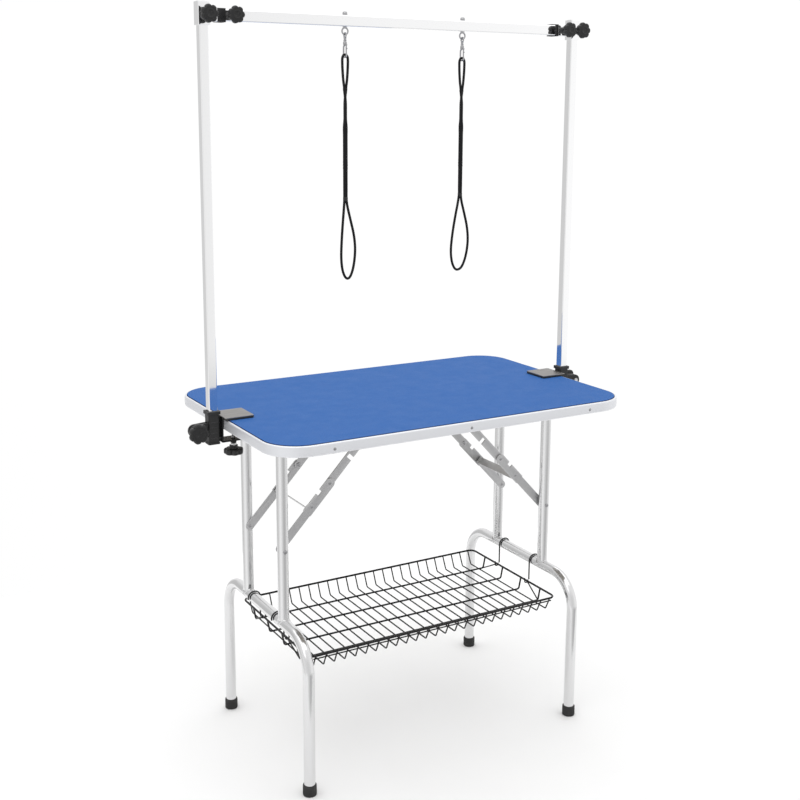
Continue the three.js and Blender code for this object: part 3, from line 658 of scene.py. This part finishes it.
def make_tabletop():
    trim_profile = (
        (5.2, 815.4), (5.2, 816.0), (4.6, 816.7), (3.6, 816.9), (2.2, 816.8), (1.0, 816.2), (0.3, 815.0),
        (0, 813.5), (0, 798), (0.3, 795.6), (1.0, 794), (2.3, 793.15), (4, 793), (13.5, 793),
        (13.5, 794.6), (3.1, 794.6), (3.1, 815.3))
    make("trim", loft(table_rings(trim_profile), joined=True), "trim", "table",
         "edge_trim")
    mat_profile = ((5.6, 815.35), (5.6, 817.7), (5.8, 817.9), (6.3, 818))
    mat = make("mat", loft(table_rings(mat_profile)), "mat", "table", "tabletop_mat")
    mat.data.materials.append(FINISH["mat_edge"])
    # Faces that don't face straight up take the painted shade of the mat's border.
    for face in mat.data.polygons:
        faces_up = face.normal.z > 0.999
        face.material_index = 0 if faces_up else 1
    head = lathe(((4.2, 0), (4.2, 0.5), (3.6, 1.3), (2.2, 1.8)), 20, "y")
    for place, side in (("front", -1), ("back", 1)):
        screws = Form()
        for x in TRIM_SCREW_X:
            facing = head.turned("Z", 180) if side < 0 else head
            screws += facing.moved(-side * x, side * TRIM_SCREW_Y, TRIM_SCREW_Z)
        make(f"{place}_trim_screws", screws, "fitting", "table")


# ------------------------------------------------------------------ legs

UPRIGHT_END_Z = 362
LEG_RIVET_Y = 111


def weld_bead(x, y, count=48):
    """A rippled ring of weld where an upright stands on the lower bar."""
    radius, hug = 13.1, 12.9
    bead = []
    for k in range(count):
        angle = TAU * k / count
        u, v = radius * math.cos(angle), radius * math.sin(angle)
        lift = math.sqrt(max(hug ** 2 - min(abs(u), hug) ** 2, 0))
        ripple = 0.2 * math.sin(14 * angle)
        bead.append(Vector((x + u, y + v, LOWER_BAR_Z + lift * 0.97 + ripple)))
    stops = [(p, (bead[(i + 1) % count] - bead[i - 1]).normalized()) for i, p in enumerate(bead)]
    return sweep(stops, circle(1.7, 10), closed=True, across=(0, 0, 1))


def foot_cap():
    """A rubber cap with four grooves round it, hollow from the top."""
    profile = [(13.6, 0), (14.9, 0.5), (15.5, 2)]
    for z in (4.5, 8.5, 12.5, 16.5):
        profile += [(15.5, z), (14.7, z + 0.7), (14.7, z + 1.5), (15.5, z + 2.2)]
    profile += [(15.3, 23.4), (14.6, 24.7), (13.3, 25), (13.0, 24), (13.0, 5)]
    return lathe(profile, 40)


def make_legs(word, side):
    x = side * LEG_X
    body = f"{word}_legs"
    top = PIVOT_Z[side]
    upper = bent_path([(x, -LEG_Y, UPRIGHT_END_Z), (x, -LEG_Y, top), (x, LEG_Y, top),
                       (x, LEG_Y, UPRIGHT_END_Z)], 35, 12)
    make(f"{word}_upper_tube", sweep(upper, circle(TUBE_RADIUS, 40), across=(1, 0, 0)), "tube", body,
         f"{word}_leg_upper_frame")
    make(f"{word}_welds", weld_bead(x, -LEG_Y) + weld_bead(x, LEG_Y), "tube", body)
    rivets = Form()
    for y in (-1, 1):
        head = lathe(((5.2, 0), (5.2, 0.7), (4.2, 1.7), (2.4, 2.3)), 24, "y")
        if y < 0:
            head = head.turned("Z", 180)
        rivets += head.moved(x, y * LEG_RIVET_Y, top - BRACE_RIVET_DROP)
    make(f"{word}_leg_rivets", rivets, "fitting", body)
    lower = bent_path([(x, -FOOT_Y, 6), (x, -FOOT_Y, LOWER_BAR_Z), (x, FOOT_Y, LOWER_BAR_Z),
                       (x, FOOT_Y, 6)], 75, 20)
    make(f"{word}_lower_tube", sweep(lower, circle(TUBE_RADIUS, 40), across=(1, 0, 0)), "tube", body,
         f"{word}_leg_lower_frame")
    for place, y in (("front", -FOOT_Y), ("back", FOOT_Y)):
        make(f"{word}_{place}_rubber_foot", foot_cap().moved(x, y, 0), "rubber", body,
             f"{word}_{place}_foot")


# ------------------------------------------------------------------ braces

BRACE_PIVOT_X = 118.5
BRACE_LENGTH = 349.5
UPPER_LINK = 167.85  # from the table pivot to the hinge between the links
UPPER_LINK_Y = (78.9, 81.9)
LOWER_LINK_Y = (82.2, 85.2)
TIE_AT = UPPER_LINK + 75
SLOT_AT = UPPER_LINK - 75
TIE_HALF_LENGTH = 78.2


def half_turn(steps=12):
    return [math.pi * k / steps for k in range(steps + 1)]


class BraceAxes:
    """Places on a brace: `distance` from its table pivot, `offset` away from the corner."""

    def __init__(self, side):
        self.pivot = Vector((side * BRACE_PIVOT_X, PIVOT_Z[side]))
        rivet_place = Vector((side * LEG_X, PIVOT_Z[side] - BRACE_RIVET_DROP))
        self.along = (rivet_place - self.pivot).normalized()
        self.away = Vector((side * self.along.y, -side * self.along.x))

    def at(self, distance, offset=0.0):
        return self.pivot + self.along * distance + self.away * offset

    def lock_outline(self):
        """The lower link: a lock plate with a square notch, narrowing to a plain bar."""
        plate, bar = 12, 10
        start, step, end = UPPER_LINK, UPPER_LINK + 85, BRACE_LENGTH
        places = [self.at(start - plate * math.sin(angle), -plate * math.cos(angle))
                  for angle in half_turn()]
        places += [self.at(step, plate), self.at(step, bar)]
        places += [self.at(end + bar * math.sin(angle), bar * math.cos(angle)) for angle in half_turn()]
        places += [self.at(step, -bar), self.at(step, -plate)]
        for distance, offset in ((38, plate), (38, plate - 8), (26, plate - 8), (26, plate)):
            places.append(self.at(start + distance, -offset))
        return places

    def upper_outline(self):
        """The upper link: a bar with round ends and a slot in its outer edge."""
        half, slot_half, slot_depth = 10, 4.8, 14.8
        places = []
        for distance, turn in ((0, 0), (UPPER_LINK, math.pi)):
            for angle in half_turn():
                places.append(self.at(distance - half * math.sin(turn + angle),
                                      half * math.cos(turn + angle)))
        for along, reach in ((slot_half, half), (slot_half, half - slot_depth),
                             (-slot_half, half - slot_depth), (-slot_half, half)):
            places.append(self.at(SLOT_AT + along, reach))
        return places


def rivet(place, near, far, radius=5.4):
    """A domed rivet head on a brace, flat at `near` and round towards `far`, along Y."""
    height = abs(far - near)
    head = lathe(((radius, 0), (radius, height * 0.3), (radius * 0.8, height * 0.75),
                  (radius * 0.4, height)), 24, "y")
    if far < near:
        head = head.turned("Z", 180)
    return head.moved(place.x, near, place.y)


def make_upper_link(word, axes, place, y):
    body = f"{word}_upper_brace"
    near, far = (y * level for level in UPPER_LINK_Y)
    make(f"{word}_{place}_upper_link", prism(axes.upper_outline(), near, far, "y"), "zinc", body,
         f"{word}_{place}_upper_brace_link", bevel=0.5)
    pivot, hinge = axes.at(0), axes.at(UPPER_LINK)
    heads = rivet(pivot, y * 75.3, y * 73.3) + rivet(hinge, near, y * 76.9)
    heads += rivet(hinge, y * 84.9, y * 85.6, 4.6)
    heads += lathe(((3, -4.5), (3, 4.5)), 20, "y").moved(pivot.x, y * 77.5, pivot.y)
    make(f"{word}_{place}_upper_rivets", heads, "fitting", body)


def make_lower_link(word, axes, place, y):
    body = f"{word}_lower_brace"
    near, far = (y * level for level in LOWER_LINK_Y)
    make(f"{word}_{place}_lower_link", prism(axes.lock_outline(), near, far, "y"), "zinc", body,
         f"{word}_{place}_lower_brace_link", bevel=0.5)
    end = axes.at(BRACE_LENGTH)
    studs = rivet(end, far - y * 0.3, far + y * 0.4, 4.6)
    studs += rivet(axes.at(UPPER_LINK + 66.5), far - y * 0.3, far + y * 0.4, 4)
    studs += rivet(end, near, y * 80.8, 3.8)
    make(f"{word}_{place}_lower_rivets", studs, "fitting", body)


def make_tie(word, axes):
    """The strip from the front brace to the back one, with a bent tab and a pin at each end."""
    def across(half_along, half_wide):
        return [axes.at(TIE_AT - half_along, -half_wide), axes.at(TIE_AT + half_along, -half_wide),
                axes.at(TIE_AT + half_along, half_wide), axes.at(TIE_AT - half_along, half_wide)]
    tie = prism(across(1, 9.5), -TIE_HALF_LENGTH, TIE_HALF_LENGTH, "y")
    for low, high in ((-78.6, -76.6), (76.6, 78.6)):
        tie += prism(across(8, 9), low, high, "y")
    make(f"{word}_tie_strip", tie, "zinc", f"{word}_lower_brace", f"{word}_brace_tie",
         bevel=0.35)
    pins = Form()
    place = axes.at(TIE_AT)
    for y in (-1, 1):
        pins += lathe(((3, -2.2), (3, 2.2)), 20, "y").moved(place.x, y * 80.2, place.y)
    make(f"{word}_tie_pins", pins, "zinc", f"{word}_lower_brace")


def make_braces(word, side):
    axes = BraceAxes(side)
    for place, y in (("front", -1), ("back", 1)):
        make_upper_link(word, axes, place, y)
        make_lower_link(word, axes, place, y)
    make_tie(word, axes)


# ------------------------------------------------------------------ basket

RIM_X, RIM_Y, RIM_Z = 337, 184, 301
BASE_X, BASE_Z = 331, 271
LONG_WIRE_Y = (-122.5, -40.5, 40.5, 122.5)
CROSS_WIRES, CROSS_WIRE_X = 25, 321
THIN_WIRE = 1.7


def make_basket():
    corners = [(-RIM_X, -RIM_Y, RIM_Z), (RIM_X, -RIM_Y, RIM_Z), (RIM_X, RIM_Y, RIM_Z),
               (-RIM_X, RIM_Y, RIM_Z)]
    rim = sweep(bent_path(corners, 16, 8, closed=True), circle(2.55, 12), closed=True, across=(0, 0, 1))
    make("basket_rim", rim, "wire", "basket", "basket")
    long_wires = Form()
    for y in LONG_WIRE_Y:
        path = bent_path([(-RIM_X, y, RIM_Z), (-BASE_X, y, BASE_Z), (BASE_X, y, BASE_Z),
                          (RIM_X, y, RIM_Z)], 6, 5)
        long_wires += sweep(path, circle(2.25, 10), across=(0, 1, 0))
    for x in (-1, 1):
        for y in (-1, 1):
            slant = bent_path([(x * RIM_X, y * HOOK_Y, RIM_Z), (x * BASE_X, y * LONG_WIRE_Y[-1], BASE_Z)],
                              0, 0)
            long_wires += sweep(slant, circle(THIN_WIRE, 8))
    front_wire = bent_path([(-326, -181.5, 293), (326, -181.5, 293)], 0, 0)
    long_wires += sweep(front_wire, circle(1.6, 8))
    for x in (-1, 1):
        for y in (-HOOK_Y, HOOK_Y):
            curl = bent_path([(x * 340, y, 303), (x * 340, y, 296.6), (x * BASE_X, y, 296.6),
                              (x * 330.2, y, 309)], 4.2, 6)
            long_wires += sweep(curl, circle(THIN_WIRE, 10), across=(0, 1, 0))
    make("basket_long_wires", long_wires, "wire", "basket")
    cross_wires = Form()
    random.seed(7)
    for i in range(CROSS_WIRES):
        x = -CROSS_WIRE_X + 2 * CROSS_WIRE_X * i / (CROSS_WIRES - 1)
        lean = random.uniform(-0.35, 0.35)
        path = bent_path([(x, -RIM_Y, 302), (x + lean, -168, 268.3), (x - lean, 168, 268.3),
                          (x, RIM_Y, 302)], 6, 5)
        cross_wires += sweep(path, circle(THIN_WIRE, 8), across=(1, 0, 0))
    make("basket_cross_wires", cross_wires, "wire", "basket")


def make_basket_hooks(word, side):
    """Wires that go over the legs' lower bar and down to the basket's rim."""
    reach, top = 15.1, 368.1
    inner, outer = side * (LEG_X - reach), side * (LEG_X + reach)
    for place, y in (("front", -HOOK_Y), ("back", HOOK_Y)):
        path = bent_path([(inner, y, 303.8), (inner, y, top), (outer, y, top), (outer, y, 350)], 14.6, 12)
        make(f"{word}_{place}_hook_wire", sweep(path, circle(1.8, 12), across=(0, 1, 0)), "wire",
             f"{word}_legs", f"{word}_{place}_basket_hook")


# ------------------------------------------------------------------ knobs and clamps


def star_head(radius, boss, thickness, lobes=7):
    """The knob's head along +Z: rounded lobes, a raised middle and a shallow dish."""
    top = boss + thickness
    levels = (
        (0.30, boss), (0.80, boss), (0.93, boss + 1), (1.0, boss + 3.2), (1.0, top - 4.2),
        (0.965, top - 2.4), (0.88, top - 1.0), (0.76, top - 0.4), (0.62, top - 0.7), (0.55, top - 0.6),
        (0.50, top), (0.40, top), (0.34, top - 0.9), (0.12, top - 1.1))
    rings = []
    for share, z in levels:
        line = []
        for k in range(lobes * 12):
            angle = TAU * k / (lobes * 12)
            hollow = 0.17 * (1 - abs(math.cos(lobes * angle / 2)) ** 0.7)
            lobe = 1 - hollow * min(1, max(0, (share - 0.55) / 0.3))
            reach = radius * share * lobe
            line.append((reach * math.cos(angle), reach * math.sin(angle), z))
        rings.append(line)
    return loft(rings)


def neck(radius, boss):
    return lathe(((radius, 0), (radius, boss * 0.6), (radius * 1.12, boss + 0.5)), 32)


def stud(radius, length, turns_per_mm=0.8, sides=20):
    """A threaded stud along -Z from the origin."""
    steps = int(length * turns_per_mm * 4)
    profile = []
    for k in range(steps + 1):
        z = -length + length * k / steps
        profile.append((radius - (0.35 if k % 2 else 0), z))
    return lathe(profile, sides)


def hex_nut(x, y, radius, low, high, axis="z"):
    return prism([(x + u, y + v) for u, v in circle(radius, 6)], low, high, axis)


def facing_front(form, x, y, z):
    return form.turned("X", 90).moved(x, y, z)


def facing_back(form, x, y, z):
    return form.turned("X", -90).moved(x, y, z)


def make_bar_knobs(word, side):
    bar_knob_x, face, stud_length = {"left": (420, 12, 6), "right": (CROSSBAR_SCREW_X, 13.6, 1.2)}[word]
    for name, x, y, length, radius in (
            ("sleeve_knob", side * POST_X, -13.9, 2.6, 19),
            ("crossbar_knob", side * bar_knob_x, -face - 0.3, stud_length, 18)):
        boss = 36 + y
        form = facing_front(star_head(radius, boss, 13) + neck(radius * 0.42, boss), x, y, BAR_Z)
        make(f"{word}_{name}_head", form, "plastic", f"{word}_{name}", f"{word}_{name}")
        form = facing_front(stud(2.9, length).moved(0, 0, 0.2), x, y, BAR_Z)
        make(f"{word}_{name}_stud", form, "zinc", f"{word}_{name}")


def square_sleeve(x, half, low, high, bore=10.4):
    """A square collar round a post, open right through."""
    outer, inner = rounded(half, half, 3, 5), rounded(bore, bore, 1, 5)
    rings = [(outer, low), (outer, high), (inner, high), (inner, low)]
    return loft([[(x + u, v, z) for u, v in outline] for outline, z in rings], joined=True)


def make_socket(word, side):
    """The block that a post stands in: ribbed, with a rim at the top, a floor and two ears."""
    x, knob_x = side * POST_X, side * LOCK_KNOB_X
    hub = square_sleeve(x, 12.3, 766, 830) + square_sleeve(x, 15, 829, 836)
    floor_outline = [(x + u, v) for u, v in rounded(13.5, 13.5, 3, 5)]
    hub += prism(floor_outline, 762, 765.4) + square_sleeve(x, 13.5, 765.4, 767)
    for z in (776, 788, 800, 812):
        for y in (-1, 1):
            hub += block((x - 9, x + 9), (y * 11.8, y * 12.9), (z - 1, z + 1))
    ears = Form()
    for y in (-1, 1):
        outline = []
        for angle in half_turn(14):
            lift = angle - math.pi / 2
            outline.append((knob_x + side * 13 * math.cos(lift), LOCK_KNOB_Z + 14 * math.sin(lift)))
        outline += [(x + side * 11.5, LOCK_KNOB_Z + 16), (x + side * 11.5, LOCK_KNOB_Z - 16)]
        ears += prism(outline, y * 2, y * 8, "y")
    make(f"{word}_socket", hub, "plastic", "table", f"{word}_clamp_socket", bevel=0.6)
    make(f"{word}_socket_ears", ears, "plastic", "table", bevel=1.0, segments=3)


def make_lock_knob(word, side):
    x, y = side * LOCK_KNOB_X, side * 8.3
    body = f"{word}_post_lock_knob"
    facing = facing_front if side < 0 else facing_back
    head = star_head(22.5, 12, 14) + neck(9.5, 12)
    make(f"{word}_lock_knob_head", facing(head, x, y, LOCK_KNOB_Z), "plastic", body,
         body)
    make(f"{word}_lock_knob_stud", facing(stud(3.4, 20), x, y, LOCK_KNOB_Z), "zinc", body)
    nut = hex_nut(x, LOCK_KNOB_Z, 6, -side * 8.2, -side * 11.2, "y")
    make(f"{word}_socket_nut", nut, "zinc", "table", bevel=0.5)


def make_jaw(word, side):
    """The plate on the table, its rubber, and the black frame that goes under the edge."""
    def plate(middle, half_x, half_y, corner, steps, low, high):
        outline = [(side * middle + u, v) for u, v in rounded(half_x, half_y, corner, steps)]
        return prism(outline, low, high)
    make(f"{word}_jaw", plate(427.8, 33.8, 36, 3, 5, 822.4, 824.5), "jaw", "table",
         f"{word}_clamp_jaw", bevel=0.4)
    frame_form = block(sorted((side * 458.4, side * 461.6)), (-17, 17), (765, 823.4))
    frame_form += plate(437.8, 23.8, 17, 2, 4, 765, 769)
    frame_form += block(sorted((side * 458.4, side * 465.4)), (-9, 9), (776, 822))
    make(f"{word}_jaw_frame", frame_form, "wire", "table", bevel=0.5)
    weld_nut = hex_nut(side * CLAMP_SCREW_X, 0, 7.5, 758, 765.4)
    make(f"{word}_jaw_nut", weld_nut, "wire", "table", bevel=0.6)
    make(f"{word}_jaw_pad", plate(427.7, 33.9, 36.3, 3, 5, 818.9, 822.5), "rubber", "table",
         f"{word}_clamp_rubber", bevel=0.4)


def make_clamp_screw(word, side):
    x = side * CLAMP_SCREW_X
    body = f"{word}_clamp_screw"
    knob = (star_head(22, 7, 14) + neck(9.3, 7)).turned("X", 180).moved(x, 0, 752)
    make(f"{word}_screw_knob", knob, "plastic", body, body)
    thread = stud(3.9, 42).moved(x, 0, 794)
    make(f"{word}_screw_thread", thread + hex_nut(x, 0, 7, 752, 756), "zinc", body)
    pressure = lathe(((6, 0), (9, 0.6), (9.5, 1.6), (9.5, 3.9), (9, 4.4)), 36).moved(x, 0, 790)
    make(f"{word}_screw_pad", pressure, "rubber", body)


# ------------------------------------------------------------------ posts, connectors and crossbar

STUB_END = {"left": 449.6, "right": 426}  # where a connector's stub ends, along X
BUSHING_LENGTH = {"left": 18, "right": 7}
SLEEVE_FACE_Y, STUB_HALF = -13, 13.6


def hollow_square(axis, half, wall, corner, low, high, across):
    """A square tube with rounded corners, along X or Z."""
    rings = []
    for size, level in ((half, low), (half, high), (half - wall, high), (half - wall, low)):
        radius = corner if size == half else max(corner - wall, 0.4)
        line = []
        for u, v in rounded(size, size, radius, 5):
            if axis == "z":
                line.append((across[0] + u, across[1] + v, level))
            else:
                line.append((level, across[0] + u, across[1] + v))
        rings.append(line)
    return loft(rings, joined=True)


def make_post(word, side):
    x = side * POST_X
    low, high = box_mm(f"{word}_post")
    post = hollow_square("z", 10, 1.3, 2.2, low.z, high.z, (x, 0))
    make(f"{word}_post_tube", post, "chrome", f"{word}_post", f"{word}_post")
    cap_profile = ((8.3, 14), (8.5, 1.6), (8.3, 0.6), (7.4, 0.3))  # half its width, depth below the top
    plug = loft([[(x + u, v, high.z - depth) for u, v in rounded(half, half, 1.2, 4)]
                 for half, depth in cap_profile])
    make(f"{word}_post_cap", plug, "plastic", f"{word}_post")


def make_connector(word, side):
    """The sleeve on a post with its stub for the crossbar, and the bushing in the stub's mouth."""
    x, end = side * POST_X, STUB_END[word]
    sleeve = hollow_square("z", 13, 2.6, 1.6, 1650, 1697, (x, 0))
    arm = hollow_square("x", STUB_HALF, 1.3, 1.8, side * 465.2, side * end, (0, BAR_Z))
    make(f"{word}_connector", sleeve + arm, "chrome", "crossbar",
         f"{word}_corner_connector", bevel=0.3)
    screws = [(POST_X, SLEEVE_FACE_Y)]
    if word == "right":
        screws.append((CROSSBAR_SCREW_X, -STUB_HALF))
    collars = Form()
    for screw_x, face in screws:
        collar = lathe(((6.2, 0), (6.2, 0.5), (5.4, 0.8)), 28, "y").turned("Z", 180)
        collars += collar.moved(side * screw_x, face, BAR_Z)
    make(f"{word}_stud_collars", collars, "zinc", "crossbar")
    mouth = end - 0.3
    flange = hollow_square("x", 14, 1.7, 1.6, side * mouth, side * (mouth - BUSHING_LENGTH[word]),
                           (0, BAR_Z))
    tabs = Form()
    for up in (-1, 1):
        low, high = sorted((BAR_Z + up * 12.3, BAR_Z + up * 14))
        outline = [(side * (mouth - 13) + u, v) for u, v in rounded(6.5, 9, 2.5, 4)]
        tabs += prism(outline, low, high)
    make(f"{word}_bushing", flange + tabs, "plastic", "crossbar",
         f"{word}_crossbar_bushing", bevel=0.35)


def make_crossbar():
    low, high = box_mm("crossbar")
    bar = hollow_square("x", 12, 1.3, 2.4, low.x, high.x, (0, BAR_Z))
    make("crossbar_tube", bar, "chrome", "crossbar", "crossbar")


# ------------------------------------------------------------------ eye bolts and snap hooks


def make_eye_bolt(word):
    x = HANGER_X[word]
    dome = lathe(((5.2, 1687.6), (5.0, 1689), (4.0, 1690.6), (2.4, 1691.5)), 24).moved(x, 0, 0)
    washer = lathe(((7, 1683.05), (7, 1683.9)), 28).moved(x, 0, 0)
    make(f"{word}_cap_nut", hex_nut(x, 0, 6, 1683.3, 1688), "fitting", "crossbar",
         bevel=0.5)
    shank = stud(2.9, 26).moved(x, 0, 1683)
    eye = ring((x, 0, 1649.5), 7.2, 1.8, (0, 1, 0), 40, 14)
    bolt = dome + washer + shank + eye + hex_nut(x, 0, 5.4, 1656, 1658.7)
    make(f"{word}_bolt_eye", bolt, "fitting", "crossbar", f"{word}_eye_bolt")


def make_snap_hook(word):
    x = HANGER_X[word]
    swivel = ring((x, 0, 1641.1), 5, 1.6, (1, 0, 0), 32, 12)
    post = lathe(((3.0, 1628), (3.7, 1628.6), (3.7, 1630), (3.0, 1630.8), (3.0, 1634), (3.6, 1636.2),
                  (2.8, 1637.2)), 24).moved(x, 0, 0)
    make(f"{word}_swivel_eye", swivel + post, "fitting", f"{word}_snap_swivel",
         f"{word}_snap_swivel")
    barrel = lathe(((2.6, 1619.2), (4.2, 1620.2), (4.3, 1622), (4.3, 1626), (3.6, 1627.3),
                    (2.8, 1627.6)), 24).moved(x, 0, 0)
    bow = bent_path([(x, 1.5, 1620.5), (x, 6.6, 1617), (x, 6.8, 1594), (x, -6.8, 1594),
                     (x, -6.6, 1602)], 5.4, 8)
    hook = sweep(bow, lambda i: circle(1.9 if i else 1.5, 14), across=(1, 0, 0))
    gate = lathe(((1.2, 1601.6), (1.6, 1602.4), (1.6, 1617.6), (2.2, 1618.6), (2.2, 1620.2)), 18)
    shoulder = lathe(((2.0, -7.2), (2.4, -6.4), (2.4, 3.2), (1.8, 3.8)), 18, "y").moved(x, 0, 1620.6)
    thumb = lathe(((1.5, 0), (1.5, 2.2), (1.1, 2.8)), 16, "y").turned("Z", 180).moved(x, -7, 1612.5)
    make(f"{word}_snap_hook_body", barrel + hook + gate.moved(x, -5.9, 0) + shoulder + thumb, "fitting",
         f"{word}_snap_hook", f"{word}_snap_hook")


# ------------------------------------------------------------------ assembly

make_camera()
FINISH = make_finishes()
make_noose("left")
make_noose("right")
make_world()
make_floor()
add_light("ceiling", (0, 0.3, 3.8), (0, 0.3, 0), (5.5, 5.5), 60)
add_light("key", (-2.6, -2.2, 3.2), (0, 0, 0.8), (2.2, 2.2), 8)

make_tabletop()
for word, side in SIDES:
    make_legs(word, side)
    make_braces(word, side)
    make_basket_hooks(word, side)
    make_socket(word, side)
    make_lock_knob(word, side)
    make_jaw(word, side)
    make_clamp_screw(word, side)
    make_eye_bolt(word)
    make_snap_hook(word)
make_basket()
for word, side in SIDES:
    make_post(word, side)
    make_connector(word, side)
    make_bar_knobs(word, side)
make_crossbar()

# CAD pieces that stay in sight as they are, under a finish from here.
KEPT_NODES = {
    "tabletop_board": "board",
    "left_hinge_plate": "zinc",
    "right_hinge_plate": "zinc",
}
for node, finish in KEPT_NODES.items():
    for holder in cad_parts[node].material_slots:
        holder.material = FINISH[finish]

bpy.context.scene.view_settings.view_transform = "Standard"
